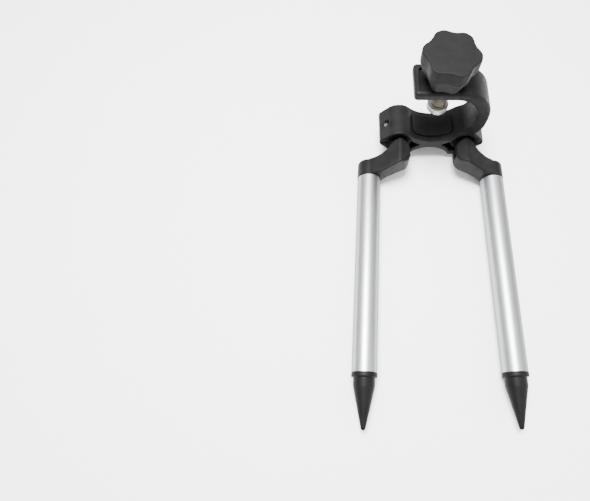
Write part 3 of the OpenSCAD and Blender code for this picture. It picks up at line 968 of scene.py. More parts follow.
class ShapeTree:
    """A geometry node tree with named sizes, which is run once on a piece."""

    def __init__(self, name: str, *sizes: str) -> None:
        """Starts a tree.

        Args:
            name: The tree's name.
            *sizes: The names of its size inputs.
        """
        self.group = bpy.data.node_groups.new(name, "GeometryNodeTree")
        sockets = self.group.interface
        sockets.new_socket("Blank", in_out="INPUT", socket_type="NodeSocketGeometry")
        for size in sizes:
            sockets.new_socket(size, in_out="INPUT", socket_type="NodeSocketFloat")
        sockets.new_socket("Finish", in_out="INPUT", socket_type="NodeSocketMaterial")
        sockets.new_socket("Shape", in_out="OUTPUT", socket_type="NodeSocketGeometry")
        self.given = self.group.nodes.new("NodeGroupInput").outputs
        self.result = self.group.nodes.new("NodeGroupOutput").inputs

    def add(self, kind: str, **inputs: object) -> bpy.types.Node:
        """Adds a node.

        Args:
            kind: The node's type.
            **inputs: A socket to link or a value to set for each input, by its name with _ for spaces.

        Returns:
            The new node.
        """
        node = self.group.nodes.new(kind)
        for name, value in inputs.items():
            self.feed(node.inputs[name.replace("_", " ")], value)
        return node

    def feed(self, target: Socket, value: object) -> None:
        """Links a socket to an input, or sets the input's value.

        Args:
            target: The input.
            value: A socket to link, or a value to set.
        """
        if isinstance(value, Socket):
            self.group.links.new(value, target)
        else:
            target.default_value = value

    def math(self, operation: str, *values: object) -> Socket:
        """Adds a sum.

        Args:
            operation: The kind of sum.
            *values: Its sockets or numbers.

        Returns:
            The sum's result.
        """
        node = self.group.nodes.new("ShaderNodeMath")
        node.operation = operation
        for target, value in zip(node.inputs, values):
            self.feed(target, value)
        return node.outputs[0]

    def times(self, first: object, second: object) -> Socket:
        """Multiplies two sockets or numbers."""
        return self.math("MULTIPLY", first, second)

    def ramp(self, value: Socket, low: object, high: object) -> Socket:
        """Rises from 0 where a value is low to 1 where it is high."""
        node = self.add("ShaderNodeMapRange", Value=value, From_Min=low, From_Max=high)
        return node.outputs[0]

    def close(self, shape: Socket) -> None:
        """Ends the tree with real meshes in their finish.

        Args:
            shape: What the tree made.
        """
        whole = self.add("GeometryNodeRealizeInstances", Geometry=shape).outputs[0]
        dressed = self.add("GeometryNodeSetMaterial", Geometry=whole, Material=self.given["Finish"])
        self.feed(self.result["Shape"], dressed.outputs[0])

    def run(self, piece: bpy.types.Object, **values: object) -> None:
        """Runs the tree on a piece and keeps the plain mesh that comes out.

        Args:
            piece: The piece.
            **values: A value for each input by name.
        """
        modifier = piece.modifiers.new("shape", "NODES")
        modifier.node_group = self.group
        for item in self.group.interface.items_tree:
            if item.in_out == "INPUT" and item.name in values:
                modifier[item.identifier] = values[item.name]
        ready = piece.evaluated_get(bpy.context.evaluated_depsgraph_get())
        mesh = bpy.data.meshes.new_from_object(ready)
        piece.modifiers.remove(modifier)
        piece.data = mesh


def thread_tree() -> ShapeTree:
    """Makes the tree that cuts a screw thread into a round blank along Z.

    Returns:
        The tree, with the thread's Pitch, Depth, Start and End as inputs.
    """
    tree = ShapeTree("cut_thread", "Pitch", "Depth", "Start", "End")
    pitch, start, end = tree.given["Pitch"], tree.given["Start"], tree.given["End"]
    spot = tree.add("GeometryNodeInputPosition").outputs[0]
    place = tree.add("ShaderNodeSeparateXYZ", Vector=spot).outputs
    x, y, z = place["X"], place["Y"], place["Z"]
    turns = tree.math("DIVIDE", tree.math("ARCTAN2", y, x), 2 * math.pi)
    phase = tree.math("FRACT", tree.math("SUBTRACT", tree.math("DIVIDE", z, pitch), turns))
    flank = tree.math("ABSOLUTE", tree.math("SUBTRACT", tree.times(phase, 2.0), 1.0))
    groove = tree.ramp(flank, *FLANK_SPAN)
    starts = tree.ramp(z, start, tree.math("ADD", start, pitch))
    ends = tree.ramp(z, end, tree.math("SUBTRACT", end, pitch))
    depth = tree.times(tree.times(groove, tree.given["Depth"]), tree.times(starts, ends))
    radius = tree.math("SQRT", tree.math("ADD", tree.times(x, x), tree.times(y, y)))
    share = tree.math("DIVIDE", depth, tree.math("MAXIMUM", radius, LEAST_RADIUS))
    inward = tree.times(share, -1.0)
    offset = tree.add("ShaderNodeCombineXYZ", X=tree.times(x, inward), Y=tree.times(y, inward))
    moved = tree.add("GeometryNodeSetPosition", Geometry=tree.given["Blank"], Offset=offset.outputs[0])
    tree.close(moved.outputs[0])
    return tree


def pair_tree() -> ShapeTree:
    """Makes the tree that sets one screw at both sides of the centre plane.

    Returns:
        The tree, with the screws' Reach and Height as inputs.
    """
    tree = ShapeTree("set_pair", "Reach", "Height")
    reach = tree.given["Reach"]
    first = tree.add("ShaderNodeCombineXYZ", X=tree.times(reach, -1.0), Z=tree.given["Height"])
    apart = tree.add("ShaderNodeCombineXYZ", X=tree.times(reach, 2.0))
    places = tree.add(
        "GeometryNodeMeshLine", Count=2, Start_Location=first.outputs[0], Offset=apart.outputs[0]
    )
    screws = tree.add("GeometryNodeInstanceOnPoints", Points=places.outputs[0], Instance=tree.given["Blank"])
    tree.close(screws.outputs[0])
    return tree


def socket_screw(
    shank_r: float, shank_len: float, head_r: float, head_h: float, socket: float, segments: int = 48
) -> MeshData:
    """Makes a screw with a six-sided socket, with its head's seat at zero.

    Args:
        shank_r: Radius of the shank.
        shank_len: Length of the shank.
        head_r: Radius of the head.
        head_h: Height of the head.
        socket: Size of the socket across its flats.
        segments: How many steps make the full turn.

    Returns:
        The points, and four point numbers for each quad.
    """
    bevel = SCREW_BEVEL * head_h
    floor = head_h / 2
    outside = [(0, -shank_len), (shank_r - bevel, -shank_len), (shank_r, bevel - shank_len), (shank_r, 0)]
    outside += [(head_r, 0), (head_r, head_h - 2 * bevel)]
    outside += arc((head_r - 2 * bevel, head_h - 2 * bevel), 2 * bevel, 15, 90, 5)
    inside = [(socket / 2 + bevel / 2, head_h), (socket / 2, head_h - bevel / 2), (socket / 2, floor)]
    points, faces = revolve([*outside, *inside, (0, floor - SOCKET_CONE * socket)], segments)
    rings = points.reshape(-1, segments, 3)
    turn = np.linspace(0, 2 * np.pi, segments, endpoint=False)
    hexagon = 1 / np.cos((turn % (np.pi / 3)) - np.pi / 6)
    rings[len(outside) : len(outside) + len(inside), :, :2] *= hexagon[:, None]
    return points, faces


# The swivels and legs

@dataclass
class Swivel:
    """The turning stub in one barrel, with the washer and screw that keep it there.

    Attributes:
        side: Which leg it carries.
        axis: Place of the barrel axis across and up, for the right-hand side.
        near: Place of the head's near face.
        pin_y: Place of the hinge pin.
        shaft_r: Radius of the stub in the barrel.
        shaft_end: Place of the stub's far end.
        collar_r: Radius of the collar.
        collar_t: Thickness of the collar.
        tongue_t: Thickness of the tongue.
        tongue_w: Width of the tongue.
        pin_room: Radius of the pin's hole.
        tapped_r: Radius of the tapped hole.
        tapped_y: Where the tapped hole starts.
        washer_y: Place of the keeper washer.
        washer_t: Thickness of the keeper washer.
        screw_r: Radius of the keeper screw.
        screw_len: Length of the keeper screw.
        head_r: Radius of the keeper screw's head.
        head_h: Height of the keeper screw's head.
        socket: Size of the keeper screw's socket.
        edge_r: Radius of the stub's edges.
    """

    side: Side
    axis: Pair = (29.0, -4.0)
    near: float = -15.0
    pin_y: float = -24.8
    shaft_r: float = 8.0
    shaft_end: float = 10.05
    collar_r: float = 10.25
    collar_t: float = 2.5
    tongue_t: float = 5.5
    tongue_w: float = 16.0
    pin_room: float = 2.55
    tapped_r: float = 3.02
    tapped_y: float = -0.5
    washer_y: float = 10.05
    washer_t: float = 1.5
    screw_r: float = 3.0
    screw_len: float = 12.0
    head_r: float = 5.5
    head_h: float = 3.0
    socket: float = 5.8
    edge_r: float = 0.6

    def place(self, points: Grid) -> Grid:
        """Moves points drawn from the right-hand barrel axis to their side."""
        return (points + (self.axis[0], 0, self.axis[1])) * (self.side.value, 1, 1)

    def stub(self, p: Grid) -> Grid:
        """Distance to the stub, drawn from the barrel axis.

        Args:
            p: The points.

        Returns:
            The signed distance of each point.
        """
        x, y, z = p[..., 0], p[..., 1], p[..., 2]
        round_axis = np.hypot(x, z)
        shaft = meet(round_axis - self.shaft_r, slab(y, self.near, self.shaft_end), self.edge_r)
        base, half_w, half_t = self.near + self.collar_t, self.tongue_w / 2, self.tongue_t / 2
        collar = meet(round_axis - self.collar_r, slab(y, self.near, base), self.edge_r)
        strip = np.maximum(slab(x, -half_w, half_w), slab(y, self.pin_y, base))
        outline = np.minimum(disc(x, y, (0, self.pin_y), half_w), strip)
        tongue = meet(outline, slab(z, -half_t, half_t), self.edge_r)
        solid = join(np.minimum(shaft, collar), tongue, self.edge_r)
        solid = cut(solid, disc(x, y, (0, self.pin_y), self.pin_room), self.edge_r / 2)
        return cut(solid, np.maximum(round_axis - self.tapped_r, self.tapped_y - y), self.edge_r / 2)

    def build(self, palette: Palette) -> None:
        """Makes the stub, its washer and its screw.

        Args:
            palette: The finishes by name.
        """
        word, body = self.side.word, f"{self.side.word}_swivel"
        low = (-self.collar_r, self.pin_y - self.tongue_w / 2, -self.collar_r)
        high = (self.collar_r, self.shaft_end, self.collar_r)
        points, faces = Sculptor(step=0.5).sculpt(self.stub, low, high)
        # The stub's collar gets the painted-shade coat, so it reads as the shade in the barrel's near
        # recess.
        piece = make_piece(f"{word}_stub", self.place(points), faces, palette[SWIVEL_PAINTED_SHADE.name])
        settle_piece(piece, body, "black_casting", f"{word}_trunnion")
        bevel = self.washer_t / 5
        top = self.washer_y + self.washer_t
        ring = [
            (self.screw_r, self.washer_y), (self.collar_r - bevel, self.washer_y),
            (self.collar_r, self.washer_y + bevel), (self.collar_r, top - bevel),
            (self.collar_r - bevel, top), (self.screw_r, top), (self.screw_r, self.washer_y),
        ]
        points, faces = revolve(ring, segments=64)
        points = self.place(points[:, ALONG_Y])
        piece = make_piece(f"{word}_keeper_disc", points, faces, palette[ZINC.name])
        settle_piece(piece, body, "bright_steel", f"{word}_keeper_washer")
        points, faces = socket_screw(self.screw_r, self.screw_len, self.head_r, self.head_h, self.socket)
        points = self.place(points[:, ALONG_Y] + (0, top, 0))
        piece = make_piece(f"{word}_keeper_bolt", points, faces, palette[ZINC.name])
        settle_piece(piece, body, "bright_steel", f"{word}_keeper_screw")


@dataclass
class Leg:
    """One leg: the cranked arm, its hinge pin, the tube and the foot.

    Attributes:
        side: Which leg it is.
        pivot: Place of the hinge pin, for the right-hand side.
        eye_r: Radius of the fork's round end and of the heel.
        heel: Distance of the heel's middle from the pin.
        gable: Fall from the arm's ridge to its inner edge.
        fork_t: Thickness of the fork.
        slot_t: Width of the fork's slot.
        slot_r: Radius of the fork's slot.
        pin_r: Radius of the pin.
        pin_head_r: Radius of the pin's head.
        pin_head_h: Height of the pin's head.
        pin_sunk: How far the pin's head lies inside the fork's lower face.
        pin_top: Height of the pin's blind end.
        leg_out: How far the tube lies outside the pin.
        leg_drop: How far the tube lies under the pin.
        crank_x: Where the crank's underside starts to drop.
        crank_drop: How far the crank runs along the leg.
        cap_r: Radius of the cap over the tube.
        cap_h: Height of the cap.
        shoulder_r: Radius of the cap's shoulder.
        spigot_r: Radius of the spigot in the tube.
        spigot_len: Length of the spigot.
        spigot_bore: Radius of the spigot's bore.
        tube_r: Radius of the tube.
        tube_wall: Wall of the tube.
        tube_len: Length of the tube.
        flange_t: Thickness of the foot's flange.
        neck_r: Radius of the foot's neck.
        neck_len: Length of the foot's neck.
        neck_step: Length of the step from the neck to the cone.
        cone_r: Largest radius of the foot's cone.
        cone_len: Length of the foot's cone.
        tip_r: Radius of the foot's tip.
        plug_r: Radius of the foot's plug.
        plug_len: Length of the foot's plug.
        edge_r: Radius of the arm's long edges.
        ridge_r: Radius of the arm's ridge.
        bend_r: Radius of the bend where the arm's underside drops.
        mouth_r: Radius of the edges at the cap's mouth and the spigot's bore.
        spigot_edge_r: Radius of the spigot's edges.
        spigot_root: How far the spigot reaches up into the cap.
        slot_edge_r: Radius of the slot's edges.
        seat_edge_r: Radius of the edge round the pin's head.
        pin_bevel: Bevel of the pin.
        tube_bevel: Bevel of the tube's ends.
        foot_bevel: Bevel of the foot's flange and plug.
        cone_round: How far the cone's edge is drawn in, across and along the leg.
    """

    side: Side
    pivot: Triple = (29.0, -24.8, -4.0)
    eye_r: float = 9.3
    heel: float = 4.5
    gable: float = 4.0
    fork_t: float = 19.0
    slot_t: float = 7.2
    slot_r: float = 10.8
    pin_r: float = 2.5
    pin_head_r: float = 4.0
    pin_head_h: float = 1.8
    pin_sunk: float = 0.3
    pin_top: float = 6.6
    leg_out: float = 25.5
    leg_drop: float = 13.0
    crank_x: float = 6.0
    crank_drop: float = 20.5
    cap_r: float = 10.28
    cap_h: float = 15.8
    shoulder_r: float = 3.0
    spigot_r: float = 8.48
    spigot_len: float = 18.0
    spigot_bore: float = 4.5
    tube_r: float = 10.0
    tube_wall: float = 1.5
    tube_len: float = 170.0
    flange_t: float = 3.5
    neck_r: float = 8.6
    neck_len: float = 8.0
    neck_step: float = 1.4
    cone_r: float = 8.3
    cone_len: float = 31.0
    tip_r: float = 2.0
    plug_r: float = 8.48
    plug_len: float = 14.0
    edge_r: float = 1.6
    ridge_r: float = 1.5
    bend_r: float = 5.0
    mouth_r: float = 0.4
    spigot_edge_r: float = 0.5
    spigot_root: float = 2.0
    slot_edge_r: float = 0.5
    seat_edge_r: float = 0.3
    pin_bevel: float = 0.4
    tube_bevel: float = 0.3
    foot_bevel: float = 0.5
    cone_round: Pair = (0.12, 0.6)

    def place(self, points: Grid) -> Grid:
        """Moves points drawn from the right-hand pin to their side, with the leg splayed.

        Args:
            points: The points.

        Returns:
            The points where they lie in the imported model's frame.
        """
        turn = math.radians(SPLAY[self.side])
        along, aside = math.cos(turn), math.sin(turn)
        lean = np.array([[along, aside, 0], [-aside, along, 0], [0, 0, 1]])
        return (points @ lean + self.pivot) * (self.side.value, 1, 1)

    def along_tube(self, points: Grid) -> Grid:
        """Lays a turned piece along the tube's axis, with its height along Y."""
        return self.place(points[:, ALONG_Y] + (self.leg_out, 0, -self.leg_drop))

    def crank_plan(self, x: Grid, y: Grid) -> Grid:
        """Distance to the arm's outline seen from the knob's side.

        Args:
            x: Distance out from the pin.
            y: Distance from the pin along the leg.

        Returns:
            The signed distance of each point.
        """
        fork = np.hypot(x, y + np.clip(-y, 0, self.heel)) - self.eye_r
        top = self.cap_h - self.crank_drop
        curve_r = (self.leg_out**2 + top**2 - self.eye_r**2) / (2 * (self.eye_r - top))
        hollow = disc(x, y, (self.leg_out, top + curve_r), curve_r)
        end = (self.leg_out - self.cap_r, self.heel - self.crank_drop)
        lean = math.atan2(end[1], end[0]) - math.acos(self.eye_r / math.hypot(*end))
        inner = math.cos(lean) * x + math.sin(lean) * (y + self.heel) - self.eye_r
        start = math.sin(lean) * x - math.cos(lean) * (y + self.heel)
        top_y = self.eye_r * (top + curve_r) / (curve_r + self.eye_r)
        crank = np.maximum(np.maximum(inner, -hollow), np.maximum(start, y - top_y))
        crank = np.maximum(crank, np.maximum(x - self.leg_out, -self.crank_drop - y))
        return np.minimum(fork, crank)

    def drop_profile(self, x: Grid, z: Grid) -> Grid:
        """Distance to the arm's outline seen along the leg.

        Args:
            x: Distance out from the pin.
            z: Height above the pin's middle.

        Returns:
            The signed distance of each point.
        """
        half = self.fork_t / 2

        def sloped(start: Pair, run: float, rise: float) -> Grid:
            """Height over a plane that rises from a start along X."""
            return ((z - start[1]) * run - (x - start[0]) * rise) / math.hypot(run, rise)

        inner = sloped((0, half), self.eye_r, self.gable)
        outer = sloped((0, half), self.leg_out, self.cap_r - self.leg_drop - half)
        run = self.leg_out - self.crank_x
        under = sloped((self.crank_x, -half), run, half - self.cap_r - self.leg_drop)
        return np.maximum(meet(inner, outer, self.ridge_r), join(-half - z, -under, self.bend_r))

    def arm(self, p: Grid) -> Grid:
        """Distance to the arm, drawn from the pin.

        Args:
            p: The points.

        Returns:
            The signed distance of each point.
        """
        x, y, z = p[..., 0], p[..., 1], p[..., 2]
        crank = meet(self.crank_plan(x, y), self.drop_profile(x, z), self.edge_r)
        round_tube = np.hypot(x - self.leg_out, z + self.leg_drop)
        cap = meet(round_tube - self.cap_r, y - self.cap_h + self.crank_drop, self.shoulder_r)
        cap = meet(cap, -self.crank_drop - y, self.mouth_r)
        solid = join(crank, cap, self.edge_r / 2)
        solid = meet(solid, -self.crank_drop - y, self.mouth_r)
        low, high = -self.crank_drop - self.spigot_len, -self.crank_drop + self.spigot_root
        spigot = meet(round_tube - self.spigot_r, slab(y, low, high), self.spigot_edge_r)
        solid = np.minimum(solid, spigot)
        solid = cut(solid, np.maximum(round_tube - self.spigot_bore, y + self.crank_drop), self.mouth_r)
        slot = np.maximum(disc(x, y, (0, 0), self.slot_r), slab(z, -self.slot_t / 2, self.slot_t / 2))
        solid = cut(solid, slot, self.slot_edge_r)
        round_pin = np.hypot(x, y)
        seat_z = self.pin_head_h + self.pin_sunk - self.fork_t / 2
        solid = cut(solid, np.maximum(round_pin - self.pin_r, z - self.pin_top))
        return cut(solid, np.maximum(round_pin - self.pin_head_r, z - seat_z), self.seat_edge_r)

    def tube_outline(self) -> Profile:
        """Outline of the tube's wall, from its foot end round its mouth and back.

        Returns:
            Radius and height of each point.
        """
        low, high = -self.crank_drop - self.tube_len, -self.crank_drop
        inside, bevel = self.tube_r - self.tube_wall, self.tube_bevel
        return [
            (inside, low), (self.tube_r - bevel, low), (self.tube_r, low + bevel),
            (self.tube_r, high - bevel), (self.tube_r - bevel, high), (inside, high), (inside, low),
        ]

    def foot_outline(self) -> Profile:
        """Outline of the foot from its tip to the end of its plug.

        Returns:
            Radius and height of each point.
        """
        tip = -self.crank_drop - self.tube_len - self.flange_t - self.neck_len - self.cone_len
        cone_y, neck_y = tip + self.cone_len, tip + self.cone_len + self.neck_len
        flange_y, bevel = neck_y + self.flange_t, self.foot_bevel
        outline = arc((0, tip + self.tip_r), self.tip_r, -90, -5, 6)
        across, along = self.cone_round
        outline += [(self.cone_r - across, cone_y - along), (self.cone_r, cone_y)]
        outline += [(self.neck_r, cone_y + self.neck_step), (self.neck_r, neck_y - bevel)]
        outline += arc((self.neck_r + bevel, neck_y - bevel), bevel, 180, 90, 4)
        outline += arc((self.cap_r - bevel, neck_y + bevel), bevel, -90, 0, 4)
        outline += arc((self.cap_r - bevel, flange_y - bevel), bevel, 0, 90, 4)
        outline += [(self.plug_r, flange_y), (self.plug_r, flange_y + self.plug_len - bevel)]
        return [*outline, (self.plug_r - bevel, flange_y + self.plug_len), (0, flange_y + self.plug_len)]

    def pin_outline(self) -> Profile:
        """Outline of the hinge pin from its head to its blind end.

        Returns:
            Radius and height of each point.
        """
        bevel = self.pin_bevel
        low = self.pin_sunk - self.fork_t / 2
        neck = low + self.pin_head_h
        outline = [(0, low), *arc((self.pin_head_r - bevel, low + bevel), bevel, -90, 0, 4)]
        outline += [(self.pin_head_r, neck), (self.pin_r, neck), (self.pin_r, self.pin_top - bevel)]
        return [*outline, (self.pin_r - bevel, self.pin_top), (0, self.pin_top)]

    def build(self, palette: Palette) -> None:
        """Makes the arm, its pin, the tube and the foot.

        Args:
            palette: The finishes by name.
        """
        word, body = self.side.word, f"{self.side.word}_leg"
        low = (-self.eye_r, -self.crank_drop - self.spigot_len, -self.leg_drop - self.cap_r)
        high = (self.leg_out + self.cap_r, self.eye_r, self.fork_t / 2)
        points, faces = Sculptor(step=0.5).sculpt(self.arm, low, high)
        piece = make_piece(f"{word}_crank", self.place(points), faces, palette[CASTING_COAT.name], sharp=60)
        settle_piece(piece, body, "black_casting", f"{word}_arm")
        points, faces = revolve(self.pin_outline(), segments=48)
        piece = make_piece(f"{word}_pin", self.place(points), faces, palette[CASTING_COAT.name])
        settle_piece(piece, body, "bright_steel", f"{word}_hinge_pin")
        tube_finish = LEFT_TUBE if self.side is Side.LEFT else RIGHT_TUBE
        points, faces = revolve(self.tube_outline(), segments=128)
        piece = make_piece(f"{word}_leg_tube", self.along_tube(points), faces, palette[tube_finish.name])
        settle_piece(piece, body, "tube_aluminium", f"{word}_tube")
        points, faces = revolve(self.foot_outline(), segments=96)
        piece = make_piece(f"{word}_foot_cone", self.along_tube(points), faces, palette[FOOT_COAT.name])
        settle_piece(piece, body, "foot_steel", f"{word}_foot")


# The clamp

@dataclass
class Clamp:
    """The screw in the jaw, with its pressure pad and its knob.

    Attributes:
        pad_z: Height of the pad's face.
        pad_r: Radius of the pad.
        pad_t: Thickness of the pad.
        pad_bevel: Chamfer of the pad's edges.
        nose_r: Radius of the screw's nose.
        nose_z: Height of the nose's end.
        groove_z: Height of the ring's groove in the nose.
        groove_t: Width of the ring's groove.
        groove_r: Radius of the nose in the groove.
        ring_r: Radius of the groove in the pad.
        screw_r: Radius of the screw.
        shank_z: Height of the shank's lower end.
        top_z: Height of the screw's upper end.
        pitch: Pitch of the thread.
        thread_depth: Depth of the thread.
        thread_end: Height at which the thread ends.
        bush_z: Height of the bush's lower end.
        bush_r: Radius of the bush.
        bush_flange_r: Radius of the bush's flange.
        bush_flange_z: Height of the flange's underside.
        bush_top: Height of the bush's top.
        bush_bore: Radius of the bush's bore.
        knob_z: Height of the knob's base.
        knob_h: Height of the knob.
        knob_r: Radius of the knob.
        knob_base_r: Radius of the knob's base.
        knob_band: Height of the knob's straight band.
        lobes: How many lobes the knob has.
        lobe_turn: Where the first lobe stands, in degrees.
        hollow_r: Radius of the hollows between the lobes.
        hollow_depth: Depth of the hollows.
        lobe_edge_r: Radius of the lobes' corners.
        knob_edge_r: Radius of the knob's upper edge.
        insert_r: Radius of the bore for the insert.
        insert_depth: Depth of the bore for the insert.
        base_edge_r: Radius of the knob's lower edge.
        bore_edge_r: Radius of the edge of the insert's bore.
        nose_gap: Gap round the nose in the pad.
        floor_gap: Gap between the nose's end and the pad's floor.
        ring_gap: How far the pad's groove lies inside the nose's groove at each side.
        nose_bevel: Bevel of the nose.
        screw_bevel: Bevel of the screw's shank.
        bush_bevel: Bevel of the bush.
        thread_rows: Rows of points in each pitch of the thread.
    """

    pad_z: float = 24.5
    pad_r: float = 8.75
    pad_t: float = 5.5
    pad_bevel: float = 1.0
    nose_r: float = 4.0
    nose_z: float = 26.2
    groove_z: float = 27.35
    groove_t: float = 0.9
    groove_r: float = 3.5
    ring_r: float = 4.72
    screw_r: float = 6.0
    shank_z: float = 30.05
    top_z: float = 71.3
    pitch: float = 1.75
    thread_depth: float = 1.0
    thread_end: float = 57.1
    bush_z: float = 48.5
    bush_r: float = 7.98
    bush_flange_r: float = 10.0
    bush_flange_z: float = 54.0
    bush_top: float = 55.5
    bush_bore: float = 6.05
    knob_z: float = 57.3
    knob_h: float = 24.2
    knob_r: float = 22.0
    knob_base_r: float = 16.0
    knob_band: float = 10.0
    lobes: int = 6
    lobe_turn: float = 51.0
    hollow_r: float = 8.0
    hollow_depth: float = 2.6
    lobe_edge_r: float = 4.0
    knob_edge_r: float = 1.6
    insert_r: float = 8.52
    insert_depth: float = 14.0
    base_edge_r: float = 0.4
    bore_edge_r: float = 0.3
    nose_gap: float = 0.05
    floor_gap: float = 0.3
    ring_gap: float = 0.03
    nose_bevel: float = 0.3
    screw_bevel: float = 1.0
    bush_bevel: float = 0.4
    thread_rows: int = 12

    def knob(self, p: Grid) -> Grid:
        """Distance to the knob.

        Args:
            p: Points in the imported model's frame.

        Returns:
            The signed distance of each point.
        """
        x, y, h = p[..., 0], p[..., 1], p[..., 2] - self.knob_z
        rise = np.clip(h / (self.knob_h - self.knob_band), 0, 1)
        size = (self.knob_base_r + (self.knob_r - self.knob_base_r) * rise) / self.knob_r
        reach = np.hypot(x, y) / size
        step = 2 * math.pi / self.lobes
        turn = np.arctan2(y, x) - math.radians(self.lobe_turn)
        turn = (turn % step) - step / 2
        middle = (self.knob_r - self.hollow_depth + self.hollow_r, 0)
        hollow = disc(reach * np.cos(turn), reach * np.sin(turn), middle, self.hollow_r)
        outline = cut(reach - self.knob_r, hollow, self.lobe_edge_r) * size
        solid = meet(outline, h - self.knob_h, self.knob_edge_r)
        solid = meet(solid, -h, self.base_edge_r)
        bore = np.maximum(np.hypot(x, y) - self.insert_r, h - self.insert_depth)
        return cut(solid, bore, self.bore_edge_r)

    def pad_outline(self) -> Profile:
        """Outline of the pressure pad from its face round into its socket.

        Returns:
            Radius and height of each point.
        """
        top, bevel = self.pad_z + self.pad_t, self.pad_bevel
        socket_r, floor = self.nose_r + self.nose_gap, self.nose_z - self.floor_gap
        face = arc((self.pad_r - bevel, self.pad_z + bevel), bevel, -90, 0, 5)
        shoulder = arc((self.pad_r - bevel, top - bevel), bevel, 0, 90, 5)
        low, high = self.groove_z + self.ring_gap, self.groove_z + self.groove_t - self.ring_gap
        groove = [(socket_r, high), (self.ring_r, high), (self.ring_r, low), (socket_r, low)]
        socket = [(socket_r, top), *groove, (socket_r, floor), (0, floor)]
        return [(0, self.pad_z), *face, *shoulder, *socket]

    def screw_outline(self) -> Profile:
        """Outline of the screw's blank, close-set where the thread is cut.

        Returns:
            Radius and height of each point.
        """
        groove_end = self.groove_z + self.groove_t
        bevel, nose_bevel = self.screw_bevel, self.nose_bevel
        outline = [(0, self.nose_z), (self.nose_r - nose_bevel, self.nose_z)]
        outline += [(self.nose_r, self.nose_z + nose_bevel)]
        outline += [(self.nose_r, self.groove_z), (self.groove_r, self.groove_z)]
        outline += [(self.groove_r, groove_end), (self.nose_r, groove_end), (self.nose_r, self.shank_z)]
        outline += [(self.screw_r - bevel, self.shank_z), (self.screw_r, self.shank_z + bevel)]
        rows = round((self.thread_end - self.shank_z - bevel) / self.pitch * self.thread_rows)
        heights = np.linspace(self.shank_z + bevel, self.thread_end, rows + 1)[1:]
        outline += [(self.screw_r, float(height)) for height in heights]
        return [*outline, (self.screw_r, self.top_z), (0, self.top_z)]

    def bush_outline(self) -> Profile:
        """Outline of the jaw's bush, closed on itself.

        Returns:
            Radius and height of each point.
        """
        bevel = self.bush_bevel
        return [
            (self.bush_bore, self.bush_z), (self.bush_r, self.bush_z), (self.bush_r, self.bush_flange_z),
            (self.bush_flange_r, self.bush_flange_z), (self.bush_flange_r, self.bush_top - bevel),
            (self.bush_flange_r - bevel, self.bush_top), (self.bush_bore + bevel, self.bush_top),
            (self.bush_bore, self.bush_top - bevel), (self.bush_bore, self.bush_z),
        ]

    def build(self, palette: Palette) -> None:
        """Makes the pad, the screw, the bush and the knob.

        Args:
            palette: The finishes by name.
        """
        points, faces = revolve(self.pad_outline(), segments=96)
        piece = make_piece("clamp_pad", points, faces, palette[NICKEL.name])
        settle_piece(piece, "pad", "screw_steel", "pressure_pad")
        points, faces = revolve(self.screw_outline(), segments=72)
        piece = make_piece("threaded_screw", points, faces, palette[SCREW_STEEL.name], sharp=50)
        thread_tree().run(
            piece, Pitch=self.pitch * MM, Depth=self.thread_depth * MM, Start=self.shank_z * MM,
            End=self.thread_end * MM, Finish=palette[SCREW_STEEL.name],
        )
        settle_piece(piece, "knob", "screw_steel", "clamp_screw")
        points, faces = revolve(self.bush_outline(), segments=96)
        piece = make_piece("screw_bush", points, faces, palette[BRASS.name])
        settle_piece(piece, "head", "bush_brass", "jaw_bush")
        low = (-self.knob_r, -self.knob_r, self.knob_z)
        high = (self.knob_r, self.knob_r, self.knob_z + self.knob_h)
        points, faces = Sculptor(step=0.45).sculpt(self.knob, low, high)
        piece = make_piece("lobed_knob", points, faces, palette[KNOB_SKIN.name], sharp=60)
        settle_piece(piece, "knob", "knob_plastic", "knob")


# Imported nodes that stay, and the studio

KEPT_NODES = {
    "left_sleeve": NYLON, "right_sleeve": NYLON,
    "left_friction_washers": NYLON, "right_friction_washers": NYLON,
    "pad_ring": ZINC, "knob_insert": BRASS,
}


def dress_kept_nodes(palette: Palette) -> None:
    """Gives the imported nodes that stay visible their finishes.

    Args:
        palette: The finishes by name.
    """
    for name, finish in KEPT_NODES.items():
        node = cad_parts[name]
        node.data.materials.clear()
        node.data.materials.append(palette[finish.name])
        LOG.info("%s: keeps its packed shape in %s", name, finish.name)


@dataclass(frozen=True)
class Lamp:
    """A soft square light.

    Attributes:
        name: The light's name.
        place: Where it hangs, in metres.
        size: Width of its face, in metres.
        power: Its power, in watts.
    """

    name: str
    place: Triple
    size: float
    power: float

    def hang(self, target: Triple) -> None:
        """Adds the light to the scene.

        Args:
            target: What it points at, in metres.
        """
        data = bpy.data.lights.new(self.name, "AREA")
        data.size, data.energy = self.size, self.power
        lamp = bpy.data.objects.new(self.name, data)
        bpy.context.scene.collection.objects.link(lamp)
        aim = (Vector(target) - Vector(self.place)).to_track_quat("-Z", "Y")
        lamp.matrix_world = Matrix.Translation(self.place) @ aim.to_matrix().to_4x4()


LAMPS = (
    Lamp("key", place=(-0.15, 0.0, 0.9), size=0.4, power=40.0),
    Lamp("fill", place=(0.8, -0.5, 0.5), size=0.5, power=4.0),
)


